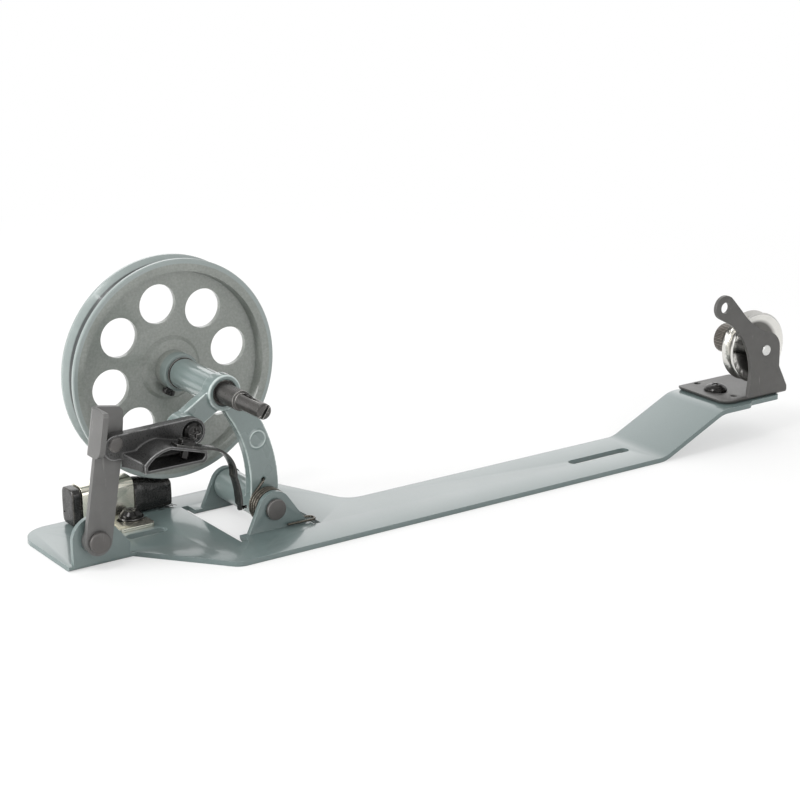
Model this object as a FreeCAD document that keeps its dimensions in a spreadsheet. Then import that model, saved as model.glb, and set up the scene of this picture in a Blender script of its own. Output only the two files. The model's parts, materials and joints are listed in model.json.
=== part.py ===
import FreeCAD, Part
import math
import os
import Sketcher

# Sewing bobbin winder. X runs along the base from the lever to the thread tension,
# Y runs back towards the belt wheel and Z is up from the underside of the base.
# The hinge pin of the swing arm stands over X = 0, the front hinge ear over Y = 0.

doc = FreeCAD.newDocument("BobbinWinder")
sheet = doc.addObject("Spreadsheet::Sheet", "Sizes")

# Driving sizes in millimetres and degrees.
driving = [
    # sheet steel base
    ("sheet", 2.0), ("base_left", -81.5), ("base_back", 54.5), ("wide_right", 23.0),
    ("neck_right", 40.4), ("arm_front", -22.3), ("arm_back", 11.8), ("nose_left", -54.0),
    ("nose_right", -28.3), ("lower_bend", 175.0), ("upper_bend", 206.5), ("rise", 14.5),
    ("base_right", 241.0), ("bend_inside", 11.0), ("corner_back", 12.0), ("corner_nose", 6.0),
    ("corner_wide", 8.0), ("corner_neck", 9.0), ("notch_left", 222.0), ("notch_depth", 2.5),
    ("corner_end", 2.0), ("notch_round", 3.0), ("fold_round", 1.6),
    # window and hinge ears
    ("window_half", 17.6), ("relief_inner", 14.6), ("relief_depth", 4.2),
    ("ear_left", -11.4), ("ear_right", 14.2), ("ear_head", 6.9),
    ("ears_apart", 34.0), ("hinge_height", 10.0),
    # lever ear
    ("lever_ear_front", 9.5), ("lever_ear_head", 8.6), ("lever_ear_right", -56.5),
    ("lever_ear_step", 6.6), ("lever_x", -71.0), ("lever_height", 10.8),
    # mounting slots
    ("left_slot_x", -42.0), ("left_slot_y", 24.5), ("left_slot_length", 17.0),
    ("arm_slot_x", 153.3), ("arm_slot_y", -5.0), ("arm_slot_length", 31.0),
    ("slot_width", 4.8),
    # pins
    ("pin_radius", 3.0), ("pin_head", 4.15), ("pin_head_height", 1.6), ("running", 0.05),
    ("seat_gap", 0.1), ("clip_height", 0.8), ("clip_radius", 4.6), ("pin_tail", 1.0),
    ("chamfer", 0.4), ("pin_step", 0.5), ("tail_wide", 1.0), ("tail_point", 0.6),
    ("spacer_wall", 2.2), ("clip_bite", 0.6), ("clip_mouth", 1.5),
    # thumb lever
    ("lever_front", 5.2), ("lever_sheet", 2.2), ("lever_width", 10.6), ("lever_tilt", 9.8),
    ("lever_elbow", 37.6), ("lever_reach", 50.6), ("lever_taper", 1.4),
    ("thumb_bottom", 33.3), ("thumb_left", 9.3), ("thumb_depth", 10.6), ("thumb_bend", 4.4),
    ("thumb_inside", 0.3), ("thumb_corner", 2.6), ("thumb_round", 1.6), ("thumb_toe", 4.0),
    ("tail_edge", 0.4), ("tail_height", 0.35), ("rivet_radius", 2.2), ("rivet_head", 3.0),
    ("rivet_rise", 0.7), ("rivet_edge", 0.8),
    # link with its hood
    ("link_thick", 4.0), ("link_gap", 0.3), ("link_end", 5.4), ("link_x", -33.2),
    ("elbow_end", 4.7), ("elbow_drop", 1.3), ("link_height", 46.5), ("hood_depth", 11.3),
    ("hood_wall", 1.2), ("hood_left", -59.0),
    ("hood_right", -33.4), ("hood_floor", 38.4), ("hood_peak_x", -48.0), ("hood_peak", 46.9),
    ("hood_shoulder", 42.0), ("hood_fall", 16.0), ("recess_depth", 0.9), ("recess_radius", 4.3),
    ("pivot_screw_radius", 2.5), ("pivot_screw_head", 3.7), ("pivot_screw_rise", 2.3),
    ("pivot_screw_edge", 0.9), ("pivot_screw_short", 0.5),
    ("cross_width", 0.9), ("cross_length", 4.2), ("cross_depth", 0.9),
    # finger and its screw
    ("finger_front", -10.3), ("finger_width", 5.0), ("finger_thick", 0.8),
    ("finger_root", 12.8), ("finger_lip", 1.6), ("finger_drop_x", 9.6), ("finger_drop", 12.6),
    ("finger_tail_x", 1.9), ("finger_tail", 13.6), ("finger_round", 12.0), ("finger_flat", 34.0),
    ("finger_screw_along", 7.4), ("finger_screw_radius", 1.5), ("finger_screw_head", 3.3),
    ("finger_screw_rise", 1.9), ("finger_screw_length", 5.4), ("finger_heel", 5.2),
    ("drill_reach", 3.0),
    # swing arm
    ("arm_face", 8.0), ("arm_plate", 4.5), ("spindle_x", -16.1), ("spindle_height", 57.0),
    ("barrel_radius", 5.9), ("barrel_back", 38.8), ("ring_radius", 6.9), ("ring_rise", 1.5),
    ("boss_radius", 6.3), ("boss_gap", 0.3), ("link_boss", 5.3), ("strut_width", 9.2),
    ("leg_width", 12.4), ("leg_lean", 8.3), ("leg_inner", 50.8), ("leg_outer", 57.0),
    ("leg_shoulder", 3.0), ("leg_root", 47.5), ("collar_radius", 4.9), ("collar_rise", 5.2),
    ("boss_bore", 3.1),
    # return spring
    ("coil_radius", 6.7), ("coil_wire", 0.48), ("coil_pitch", 1.44), ("coil_turns", 3),
    ("coil_start", 2.58), ("hook_height", 19.6), ("hook_depth", 2.4), ("hook_room", 0.35),
    ("hook_bend", 1.1),
    ("foot_reach", 15.3), ("foot_height", 2.85), ("foot_turn", 2.05), ("foot_back", 4.5),
    # spindle, bushes and bobbin clip
    ("shaft_radius", 3.9), ("tip_radius", 3.0), ("tip_front", -22.3), ("step_at", -5.5),
    ("bush_radius", 4.9), ("bush_length", 9.0), ("bush_inset", 0.6), ("tip_slot", 1.3),
    ("tip_slot_depth", 1.6), ("tip_edge", 0.7), ("clip_groove", 1.2), ("clip_groove_depth", 1.3),
    ("clip_front", -15.0), ("clip_back", -6.5), ("bow_height", 1.3), ("clip_wire", 0.6),
    ("clip_inset", 0.5), ("shaft_short", 1.0), ("step_edge", 0.4), ("tip_slot_turn", 55.0),
    ("bow_half", 1.2), ("bow_dip", 0.5), ("bow_crest", 0.3),
    # belt wheel
    ("wheel_radius", 43.4), ("wheel_front", 44.3), ("wheel_width", 10.9), ("groove_depth", 3.0),
    ("groove_land", 1.5), ("groove_floor", 1.2), ("rim_wall", 1.8), ("web_front", 48.9),
    ("web_thick", 2.2), ("disc_boss", 11.3), ("disc_rise", 1.4), ("hub_radius", 7.4),
    ("boss_short", 0.5),
    ("hub_front", 39.6), ("hub_bore", 3.95), ("hole_radius", 7.75), ("hole_pitch", 26.1),
    ("hole_turn", 9.4), ("wheel_holes", 8), ("rim_draft", 0.7), ("washer_radius", 6.2),
    ("washer_gap", 0.1), ("set_screw_at", 43.4), ("set_screw_radius", 1.5),
    ("set_screw_head", 2.5), ("set_screw_rise", 2.2), ("set_screw_turn", 28.0),
    ("set_screw_lift", 0.3), ("set_screw_slot", 1.0),
    # brake
    ("brake_left", -58.2), ("brake_right", -36.6), ("brake_front", 44.6), ("brake_deep", 10.0),
    ("brake_top", 17.4), ("brake_wall", 1.2), ("brake_round", 3.2), ("foot_left", -51.0),
    ("foot_right", -35.4), ("foot_front", 29.4), ("foot_sheet", 1.5), ("brake_screw_x", -41.0),
    ("brake_screw_y", 39.0), ("brake_slot_length", 12.0), ("leather_clear", 0.1),
    ("leather_right", -19.8), ("block_top", 13.4), ("pad_left", -62.4), ("pad_top", 17.0),
    ("pad_lift", 0.1), ("leather_round", 2.4),
    ("screw_radius", 2.0), ("screw_head", 4.2), ("screw_rise", 2.4), ("washer_outer", 5.0),
    ("washer_thick", 0.9), ("screw_clear", 0.3), ("washer_play", 0.2), ("screw_short", 0.3),
    ("head_side", 0.96), ("head_flat", 2.8),
    # tension unit
    ("foot_x", 210.6), ("foot_wide", 30.2), ("bracket_front", -18.6), ("bracket_back", 11.8),
    ("bracket_sheet", 1.6), ("upright_left", 223.2), ("upright_right", 245.8),
    ("upright_waist", 241.0), ("waist_height", 29.0), ("post_x", 233.2), ("post_height", 37.2),
    ("post_pad", 7.8), ("neck_in", 1.5), ("neck_drop", 9.2),
    ("elbow_out", 10.4), ("elbow_rise", 14.3), ("swoop_radius", 30.8), ("dip_left", 14.7),
    ("dip_rise", 19.5), ("dip_radius", 34.0), ("eye_x", 209.0), ("eye_height", 59.5), ("eye_pad", 5.2),
    ("eye_radius", 2.4), ("bracket_screw_x", 220.0), ("bracket_screw_y", -2.0),
    ("bracket_slot_length", 12.0), ("truss_radius", 5.0), ("truss_rise", 2.6),
    ("upright_root", 3.0), ("bracket_fold", 1.44), ("small_hole", 1.5), ("small_hole_apart", 11.6),
    ("bracket_corner", 1.2), ("bracket_nose", 5.0),
    ("post_radius", 2.4), ("post_back", 9.8), ("collar_outer", 4.2), ("disc_plane", -10.2),
    ("disc_radius", 15.2), ("disc_sheet", 0.6), ("disc_flat", 6.0), ("disc_cup", 0.9),
    ("disc_skirt", 3.2), ("disc_flare", 1.6), ("disc_lip", 0.8), ("disc_play", 0.1), ("disc_gap", 0.3),
    ("nut_front", 2.0), ("nut_length", 6.0), ("nut_radius", 6.4), ("nut_hub", 4.6),
    ("nut_hub_rise", 1.6), ("nut_edge", 0.5), ("nut_grooves", 28), ("nut_groove", 0.35),
    ("post_edge", 0.3), ("post_point", 0.5),
    ("spring_wide", 6.2), ("spring_narrow", 3.6), ("spring_wire", 0.45), ("spring_turns", 4.5),
    ("spring_room", 0.15),
]


class Size:
    """A size with its value and the text that ties it to the sheet."""

    def __init__(self, value, text):
        self.value = float(value)
        self.text = text

    def _with(self, other, sign, work, swap=False):
        if not isinstance(other, Size):
            other = Size(other, "(%r)" % float(other))
        first, second = (other, self) if swap else (self, other)
        return Size(work(first.value, second.value), "(%s %s %s)" % (first.text, sign, second.text))

    def __add__(self, other):
        return self._with(other, "+", lambda a, b: a + b)

    def __radd__(self, other):
        return self._with(other, "+", lambda a, b: a + b, True)

    def __sub__(self, other):
        return self._with(other, "-", lambda a, b: a - b)

    def __rsub__(self, other):
        return self._with(other, "-", lambda a, b: a - b, True)

    def __mul__(self, other):
        return self._with(other, "*", lambda a, b: a * b)

    def __rmul__(self, other):
        return self._with(other, "*", lambda a, b: a * b, True)

    def __truediv__(self, other):
        return self._with(other, "/", lambda a, b: a / b)

    def __neg__(self):
        return self * -1.0


def size(value):
    return value if isinstance(value, Size) else Size(value, "(%r)" % float(value))


def sine(angle):
    angle = size(angle)
    return Size(math.sin(math.radians(angle.value)), "sin(%s)" % angle.text)


def cosine(angle):
    angle = size(angle)
    return Size(math.cos(math.radians(angle.value)), "cos(%s)" % angle.text)


def root(value):
    return Size(math.sqrt(value.value), "sqrt(%s)" % value.text)


class Sizes:
    """Gives each sheet cell by its alias."""

    def __getattr__(self, name):
        return Size(values[name], "Sizes.%s" % name)


values = dict(driving)
for row, (alias, number) in enumerate(driving, start=1):
    sheet.set("A%d" % row, alias.replace("_", " "))
    sheet.set("B%d" % row, repr(number))
    sheet.setAlias("B%d" % row, alias)
doc.recompute()
s = Sizes()
nodes = {}


def bind(thing, prop, amount):
    """Sets a property and ties it to the sheet."""
    thing.setExpression(prop, size(amount).text)


def place(thing, x=0.0, y=0.0, z=0.0):
    bind(thing, "Placement.Base.x", x)
    bind(thing, "Placement.Base.y", y)
    bind(thing, "Placement.Base.z", z)


def keep(name, thing):
    """Marks an object as a finished sub-part."""
    thing.Label = name
    nodes[name] = thing


def body(name):
    made = doc.addObject("PartDesign::Body", name)
    doc.recompute()
    return made


def plane(of_body, role):
    return [f for f in of_body.Origin.OriginFeatures if f.Role == role][0]


def sketch_on(of_body, name, role, offset=0.0):
    """A sketch on an origin plane; on XZ the offset is the Y of the sketch."""
    made = of_body.newObject("Sketcher::SketchObject", name)
    made.AttachmentSupport = [(plane(of_body, role), "")]
    made.MapMode = "FlatFace"
    amount = -size(offset) if role == "XZ_Plane" else size(offset)
    made.AttachmentOffset = FreeCAD.Placement(FreeCAD.Vector(0, 0, amount.value), FreeCAD.Rotation())
    bind(made, "AttachmentOffset.Base.z", amount)
    return made


def pin_point(sketch, geometry, position, u, v):
    for kind, amount in (("DistanceX", u), ("DistanceY", v)):
        amount = size(amount)
        index = sketch.addConstraint(Sketcher.Constraint(kind, -1, 1, geometry, position, amount.value))
        sketch.setExpression("Constraints[%d]" % index, amount.text)


class Arc:
    """A round corner run about a centre, drawn with or against the clock."""

    def __init__(self, u, v, against_clock):
        self.u = size(u)
        self.v = size(v)
        self.against_clock = against_clock


def loop(sketch, corners):
    """Draws a closed outline of (u, v) corners; a corner may end in the Arc that leaves it."""
    points = [(size(c[0]), size(c[1]), c[2] if len(c) > 2 else None) for c in corners]
    first = None
    last = None
    for index, (u, v, arc) in enumerate(points):
        nu, nv, _ = points[(index + 1) % len(points)]
        here = FreeCAD.Vector(u.value, v.value, 0)
        there = FreeCAD.Vector(nu.value, nv.value, 0)
        if arc is None:
            made = sketch.addGeometry(Part.LineSegment(here, there), False)
            start, end = 1, 2
        else:
            centre = FreeCAD.Vector(arc.u.value, arc.v.value, 0)
            a, b = (here, there) if arc.against_clock else (there, here)
            low = math.atan2(a.y - centre.y, a.x - centre.x)
            high = math.atan2(b.y - centre.y, b.x - centre.x)
            if high <= low:
                high += 2 * math.pi
            circle = Part.Circle(centre, FreeCAD.Vector(0, 0, 1), (a - centre).Length)
            made = sketch.addGeometry(Part.ArcOfCircle(circle, low, high), False)
            start, end = (1, 2) if arc.against_clock else (2, 1)
            chord = there - here
            kind, amount = ("DistanceX", arc.u) if abs(chord.y) > abs(chord.x) else ("DistanceY", arc.v)
            tied = sketch.addConstraint(Sketcher.Constraint(kind, -1, 1, made, 3, amount.value))
            sketch.setExpression("Constraints[%d]" % tied, amount.text)
        pin_point(sketch, made, start, u, v)
        if last is not None:
            sketch.addConstraint(Sketcher.Constraint("Coincident", last[0], last[1], made, start))
        if first is None:
            first = (made, start)
        last = (made, end)
    sketch.addConstraint(Sketcher.Constraint("Coincident", last[0], last[1], first[0], first[1]))


def ring(sketch, u, v, radius):
    radius = size(radius)
    centre = FreeCAD.Vector(size(u).value, size(v).value, 0)
    made = sketch.addGeometry(Part.Circle(centre, FreeCAD.Vector(0, 0, 1), radius.value), False)
    pin_point(sketch, made, 3, u, v)
    index = sketch.addConstraint(Sketcher.Constraint("Radius", made, radius.value))
    sketch.setExpression("Constraints[%d]" % index, radius.text)


def box_corners(left, low, right, high):
    return [(left, low), (right, low), (right, high), (left, high)]


def rounded_box(left, low, right, high, r):
    """A rectangle with all four corners rounded."""
    left, low, right, high, r = (size(a) for a in (left, low, right, high, r))
    return [(left + r, low), (right - r, low, Arc(right - r, low + r, True)),
            (right, low + r), (right, high - r, Arc(right - r, high - r, True)),
            (right - r, high), (left + r, high, Arc(left + r, high - r, True)),
            (left, high - r), (left, low + r, Arc(left + r, low + r, True))]


def slot_corners(u, v, length, width):
    """A round-ended slot along the sketch's first axis; length is end to end."""
    half = (size(length) - width) / 2
    r = size(width) / 2
    u = size(u)
    v = size(v)
    return [(u - half, v - r), (u + half, v - r, Arc(u + half, v, True)),
            (u + half, v + r), (u - half, v + r, Arc(u - half, v, True))]


def pad(of_body, name, role, start, end, *outlines):
    """Fills outlines from one plane to another; on XZ both are Y values."""
    start = size(start)
    end = size(end)
    base = end if role == "XZ_Plane" else start
    drawn = sketch_on(of_body, name + "_outline", role, base)
    for outline in outlines:
        if isinstance(outline, tuple):
            ring(drawn, *outline)
        else:
            loop(drawn, outline)
    made = of_body.newObject("PartDesign::Pad", name)
    made.Profile = drawn
    bind(made, "Length", end - start)
    doc.recompute()
    return made


def pocket(of_body, name, role, start, end, *outlines):
    """Cuts outlines out of a body from one plane to another."""
    start = size(start)
    end = size(end)
    before = of_body.Shape.Volume
    base = start if role == "XZ_Plane" else end
    drawn = sketch_on(of_body, name + "_outline", role, base)
    for outline in outlines:
        if isinstance(outline, tuple):
            ring(drawn, *outline)
        else:
            loop(drawn, outline)
    made = of_body.newObject("PartDesign::Pocket", name)
    made.Profile = drawn
    bind(made, "Length", end - start)
    doc.recompute()
    if not of_body.Shape.Volume < before:
        raise ValueError("%s cut nothing" % name)
    return made


def edges_where(shape, wanted):
    return ["Edge%d" % (i + 1) for i, edge in enumerate(shape.Edges) if wanted(edge)]


def upright_at(axis, spots, slack=0.05):
    """Picks straight edges along an axis that pass through the given spots of the other two."""
    others = [i for i in range(3) if i != axis]

    def wanted(edge):
        if len(edge.Vertexes) != 2 or edge.Curve.TypeId != "Part::GeomLine":
            return False
        a = edge.Vertexes[0].Point
        b = edge.Vertexes[1].Point
        if any(abs(a[i] - b[i]) > slack for i in others):
            return False
        return any(all(abs(a[i] - size(spot[k]).value) < slack for k, i in enumerate(others))
                   for spot in spots)

    return wanted


def round_edges(of_body, name, wanted, radius):
    base = of_body.Tip
    doc.recompute()
    names = edges_where(of_body.Shape, wanted)
    if not names:
        raise ValueError("%s finds no edge" % name)
    made = of_body.newObject("PartDesign::Fillet", name)
    made.Base = (base, names)
    bind(made, "Radius", radius)
    doc.recompute()
    return made


def turned(name, along, where, *outlines):
    """A turned piece: outlines of (radius, station) corners about an axis along Y or Z."""
    made = body(name)
    role = "XY_Plane" if along == "Y" else "XZ_Plane"
    drawn = sketch_on(made, name + "_profile", role)
    for outline in outlines:
        loop(drawn, outline)
    spun = made.newObject("PartDesign::Revolution", name + "_turned")
    spun.Profile = drawn
    spun.ReferenceAxis = (drawn, ["V_Axis"])
    spun.Angle = 360.0
    doc.recompute()
    place(made, *where)
    doc.recompute()
    return made


def cross_drive(of_body, name, role, face, centre, inward):
    """A cross recess, cut from a head's face into the head."""
    half = s.cross_length / 2
    thin = s.cross_width / 2
    u, v = (size(c) for c in centre)
    low, high = (face, face + s.cross_depth) if inward > 0 else (face - s.cross_depth, face)
    pocket(of_body, name + "_bar", role, low, high, box_corners(u - half, v - thin, u + half, v + thin))
    pocket(of_body, name + "_post", role, low, high, box_corners(u - thin, v - half, u + thin, v + half))


def touch_point(pu, pv, cu, cv, r, side):
    """Where the straight line from a point touches a circle."""
    du = size(pu) - cu
    dv = size(pv) - cv
    square = du * du + dv * dv
    along = r * r / square
    across = r * root(square - r * r) / square * side
    return cu + du * along - dv * across, cv + dv * along + du * across


# Positions that several pieces share.
ear_back = s.ears_apart + s.sheet
elbow_x = s.lever_x + s.lever_elbow * sine(s.lever_tilt)
elbow_z = s.lever_height + s.lever_elbow * cosine(s.lever_tilt)
link_back = s.lever_front - s.link_gap
link_front = link_back - s.link_thick
bracket_floor = s.rise + s.sheet
bracket_top = bracket_floor + s.bracket_sheet
post_front = s.bracket_front
upright_back = s.bracket_front + s.bracket_sheet


def make_base():
    base = body("base_plate_body")
    pad(base, "flat", "XY_Plane", 0, s.sheet, [
        (s.base_left, s.lever_ear_front), (s.nose_left, s.lever_ear_front), (s.nose_right, s.arm_front),
        (s.lower_bend, s.arm_front), (s.lower_bend, s.arm_back), (s.neck_right, s.arm_back),
        (s.wide_right, s.base_back), (s.base_left, s.base_back)])
    round_edges(base, "back_corner", upright_at(2, [(s.base_left, s.base_back)]), s.corner_back)
    round_edges(base, "wide_corner", upright_at(2, [(s.wide_right, s.base_back)]), s.corner_wide)
    round_edges(base, "neck_corner", upright_at(2, [(s.neck_right, s.arm_back)]), s.corner_neck)
    nose = [(s.nose_right, s.arm_front), (s.nose_left, s.lever_ear_front)]
    round_edges(base, "nose_corner", upright_at(2, nose[:1]), s.corner_nose)

    # The arm rises over two bends to the raised foot for the thread tension.
    run = s.upper_bend - s.lower_bend
    slant = root(run * run + s.rise * s.rise)
    shift = s.sheet * (slant - run) / s.rise
    overlap = s.bend_inside * 1.5
    pad(base, "raised", "XZ_Plane", s.arm_front, s.arm_back, [
        (s.lower_bend - overlap, 0), (s.lower_bend, 0), (s.upper_bend, s.rise), (s.base_right, s.rise),
        (s.base_right, bracket_floor), (s.upper_bend - shift, bracket_floor),
        (s.lower_bend - shift, s.sheet), (s.lower_bend - overlap, s.sheet)])
    inner = [(s.lower_bend - shift, s.sheet), (s.upper_bend, s.rise)]
    outer = [(s.lower_bend, 0), (s.upper_bend - shift, bracket_floor)]
    round_edges(base, "inner_bends", upright_at(1, inner), s.bend_inside)
    round_edges(base, "outer_bends", upright_at(1, outer), s.bend_inside + s.sheet)
    pocket(base, "end_notch", "XY_Plane", s.rise - 1, bracket_floor + 1, [
        (s.notch_left, s.arm_front - 1), (s.base_right + 1, s.arm_front - 1),
        (s.base_right + 1, s.arm_front + s.notch_depth),
        (s.notch_left + s.notch_depth, s.arm_front + s.notch_depth),
        (s.notch_left, s.arm_front)])
    steps = [(s.notch_left, s.arm_front), (s.notch_left + s.notch_depth, s.arm_front + s.notch_depth)]
    round_edges(base, "notch_corners", upright_at(2, steps), s.notch_round)
    ends = [(s.base_right, s.arm_back), (s.base_right, s.arm_front + s.notch_depth)]
    round_edges(base, "end_corners", upright_at(2, ends), s.corner_end)

    # The window leaves its two tongues standing as the hinge ears.
    tongue = s.relief_inner
    deep = s.relief_depth
    front = size(0)
    back = ear_back
    wide = s.window_half
    pocket(base, "window", "XY_Plane", -1, s.sheet + 1, [
        (-wide, front - deep), (-tongue, front - deep), (-tongue, s.sheet), (tongue, s.sheet),
        (tongue, front - deep), (wide, front - deep), (wide, back + s.sheet + deep),
        (tongue, back + s.sheet + deep), (tongue, back), (-tongue, back),
        (-tongue, back + s.sheet + deep), (-wide, back + s.sheet + deep)])
    left = touch_point(s.ear_left, s.sheet, size(0), s.hinge_height, s.ear_head, -1)
    right = touch_point(s.ear_right, s.sheet, size(0), s.hinge_height, s.ear_head, 1)
    head = Arc(0, s.hinge_height, True)
    ear = [(-tongue, 0), (tongue, 0), (tongue, s.sheet), (s.ear_right, s.sheet), (right[0], right[1], head),
           (left[0], left[1]), (s.ear_left, s.sheet), (-tongue, s.sheet)]
    pad(base, "front_ear", "XZ_Plane", 0, s.sheet, ear)
    pad(base, "back_ear", "XZ_Plane", back, back + s.sheet, ear)
    round_edges(base, "front_fold", upright_at(0, [(s.sheet, 0), (back, 0)]), s.fold_round)
    pocket(base, "hinge_holes", "XZ_Plane", -1, back + s.sheet + 1,
           (0, s.hinge_height, s.pin_radius + s.running))

    # The lever ear stands on the front edge beside the nose.
    step = touch_point(s.lever_ear_right, s.lever_ear_step, s.lever_x, s.lever_height, s.lever_ear_head, 1)
    ear_left = s.lever_x - s.lever_ear_head
    pad(base, "lever_ear", "XZ_Plane", s.lever_ear_front, s.lever_ear_front + s.sheet, [
        (ear_left, 0), (s.lever_ear_right, 0), (s.lever_ear_right, s.lever_ear_step),
        (step[0], step[1], Arc(s.lever_x, s.lever_height, True)), (ear_left, s.lever_height)])
    pocket(base, "lever_hole", "XZ_Plane", s.lever_ear_front - 1, s.lever_ear_front + s.sheet + 1,
           (s.lever_x, s.lever_height, s.pin_radius - s.pin_step + s.running))
    round_edges(base, "lever_fold", upright_at(0, [(s.lever_ear_front, 0)]), s.fold_round)

    slots = [slot_corners(s.left_slot_x, s.left_slot_y, s.left_slot_length, s.slot_width),
             slot_corners(s.arm_slot_x, s.arm_slot_y, s.arm_slot_length, s.slot_width)]
    pocket(base, "mounting_slots", "XY_Plane", -1, s.sheet + 1, *slots)
    pocket(base, "brake_hole", "XY_Plane", -1, s.sheet + 1,
           (s.brake_screw_x, s.brake_screw_y, s.screw_radius + s.running))
    pocket(base, "bracket_hole", "XY_Plane", s.rise - 1, bracket_floor + 1,
           (s.bracket_screw_x, s.bracket_screw_y, s.screw_radius + s.running))
    keep("base_plate", base)


def make_pins():
    # lever pin: head, shank through the lever, thinner tail through the ear
    slim = s.pin_radius - s.pin_step
    head_back = s.lever_front - s.seat_gap
    tail = s.lever_ear_front + s.sheet + s.seat_gap
    shoulder = s.lever_ear_front - s.seat_gap
    keep("lever_pivot_pin", turned("lever_pivot_pin_body", "Y", (s.lever_x, 0, s.lever_height), [
        (0, head_back - s.pin_head_height), (s.pin_head - s.chamfer, head_back - s.pin_head_height),
        (s.pin_head, head_back - s.pin_head_height + s.chamfer), (s.pin_head, head_back),
        (s.pin_radius, head_back), (s.pin_radius, shoulder), (slim, shoulder), (slim, tail),
        (slim + s.tail_wide, tail), (slim + s.tail_point, tail + s.pin_tail), (0, tail + s.pin_tail)]))
    low = s.lever_front + s.lever_sheet + s.seat_gap
    keep("lever_spacer", turned("lever_spacer_body", "Y", (s.lever_x, 0, s.lever_height), [
        (s.pin_radius + s.running, low), (s.pin_radius + s.spacer_wall, low),
        (s.pin_radius + s.spacer_wall, shoulder),
        (s.pin_radius + s.running, shoulder)]))

    # hinge pin with a spring clip in a groove at its back end
    end = ear_back + s.sheet + s.seat_gap
    groove = s.pin_radius - s.clip_bite
    keep("hinge_pin", turned("hinge_pin_body", "Y", (0, 0, s.hinge_height), [
        (0, -s.seat_gap - s.pin_head_height), (s.pin_head - s.chamfer, -s.seat_gap - s.pin_head_height),
        (s.pin_head, -s.seat_gap - s.pin_head_height + s.chamfer), (s.pin_head, -s.seat_gap),
        (s.pin_radius, -s.seat_gap), (s.pin_radius, end), (groove, end),
        (groove, end + s.clip_height + s.seat_gap), (s.pin_radius, end + s.clip_height + s.seat_gap),
        (s.pin_radius, end + s.clip_height + s.pin_tail), (0, end + s.clip_height + s.pin_tail)]))
    clip = body("hinge_pin_clip_body")
    pad(clip, "clip_ring", "XZ_Plane", end + s.seat_gap / 2, end + s.clip_height + s.seat_gap / 2,
        (0, 0, s.clip_radius), (0, 0, groove + s.running))
    reach = s.clip_radius + 1
    pocket(clip, "clip_mouth", "XZ_Plane", end - 1, end + s.clip_height + 1,
           box_corners(-s.clip_mouth, -reach, s.clip_mouth, 0))
    place(clip, 0, 0, s.hinge_height)
    keep("hinge_pin_clip", clip)


def make_lever():
    """The thumb lever is drawn upright over its pivot and leaned by its placement."""
    lever = body("latch_lever_body")
    half = s.lever_width / 2
    front = s.lever_front
    back = s.lever_front + s.lever_sheet
    top = s.lever_reach
    outer = -s.thumb_left
    inner = outer + s.lever_sheet
    turn = outer + s.thumb_bend
    tip = front - s.thumb_depth
    right = half - s.lever_taper
    pad(lever, "bar", "XZ_Plane", front, back, [
        (-half, 0, Arc(0, 0, True)), (half, 0), (half, s.thumb_bottom), (right, top), (turn, top),
        (turn, s.thumb_bottom), (-half, s.thumb_bottom)])
    pad(lever, "thumb", "XY_Plane", s.thumb_bottom, top, [
        (turn, front), (turn, back, Arc(turn, back - s.thumb_bend, True)),
        (outer, back - s.thumb_bend), (outer, tip), (inner, tip),
        (inner, front - s.thumb_inside, Arc(inner + s.thumb_inside, front - s.thumb_inside, False)),
        (inner + s.thumb_inside, front)])
    round_edges(lever, "top_corner", upright_at(1, [(right, top)]), s.thumb_corner)
    round_edges(lever, "thumb_crown", upright_at(0, [(tip, top)]), s.thumb_round)
    round_edges(lever, "thumb_toes", upright_at(0, [(tip, s.thumb_bottom)]), s.thumb_toe)
    pocket(lever, "bores", "XZ_Plane", front - 1, back + 1, (0, 0, s.pin_radius + s.running),
           (0, s.lever_elbow, s.rivet_radius + s.running))
    place(lever, s.lever_x, 0, s.lever_height)
    bind(lever, "Placement.Rotation.Axis.y", 1)
    bind(lever, "Placement.Rotation.Axis.x", 0)
    bind(lever, "Placement.Rotation.Axis.z", 0)
    bind(lever, "Placement.Rotation.Angle", s.lever_tilt)
    keep("latch_lever", lever)

    # The elbow rivet is parted between link and lever, so that each half turns with its own piece.
    keep("elbow_rivet_tail", turned("elbow_rivet_tail_body", "Y", (elbow_x, 0, elbow_z), [
        (0, front), (s.rivet_radius, front), (s.rivet_radius, back + s.seat_gap / 2),
        (s.rivet_radius - s.tail_edge, back + s.tail_height), (0, back + s.tail_height)]))
    keep("elbow_rivet_head", turned("elbow_rivet_head_body", "Y", (elbow_x, 0, elbow_z), [
        (0, link_front - s.rivet_rise), (s.rivet_head - s.rivet_edge, link_front - s.rivet_rise),
        (s.rivet_head, link_front - s.seat_gap / 2), (s.rivet_radius, link_front - s.seat_gap / 2),
        (s.rivet_radius, link_back), (0, link_back)]))


def hood_outline(inset):
    """The hood's outline on XZ, drawn in by an inset."""
    left = s.hood_left + inset
    right = s.hood_right - inset
    floor = s.hood_floor + inset
    peak = s.hood_peak - inset
    fall = sine(s.hood_fall) / cosine(s.hood_fall)
    right_top = peak - fall * (right - s.hood_peak_x)
    # the roof swells from the left wall to the peak about a centre below the peak
    wide = s.hood_peak_x - left
    tall = peak - (s.hood_shoulder - inset)
    swell = (wide * wide + tall * tall) / (2 * tall)
    return [(left, floor), (right - s.hood_wall, floor), (right, floor + s.hood_wall), (right, right_top),
            (s.hood_peak_x, peak, Arc(s.hood_peak_x, peak - swell, True)),
            (left, s.hood_shoulder - inset)]


def roof_spot(along, up):
    """A point on the sloping roof: along the fall from the peak, and up from its face."""
    return (s.hood_peak_x + along * cosine(s.hood_fall) + up * sine(s.hood_fall),
            s.hood_peak - along * sine(s.hood_fall) + up * cosine(s.hood_fall))


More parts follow.
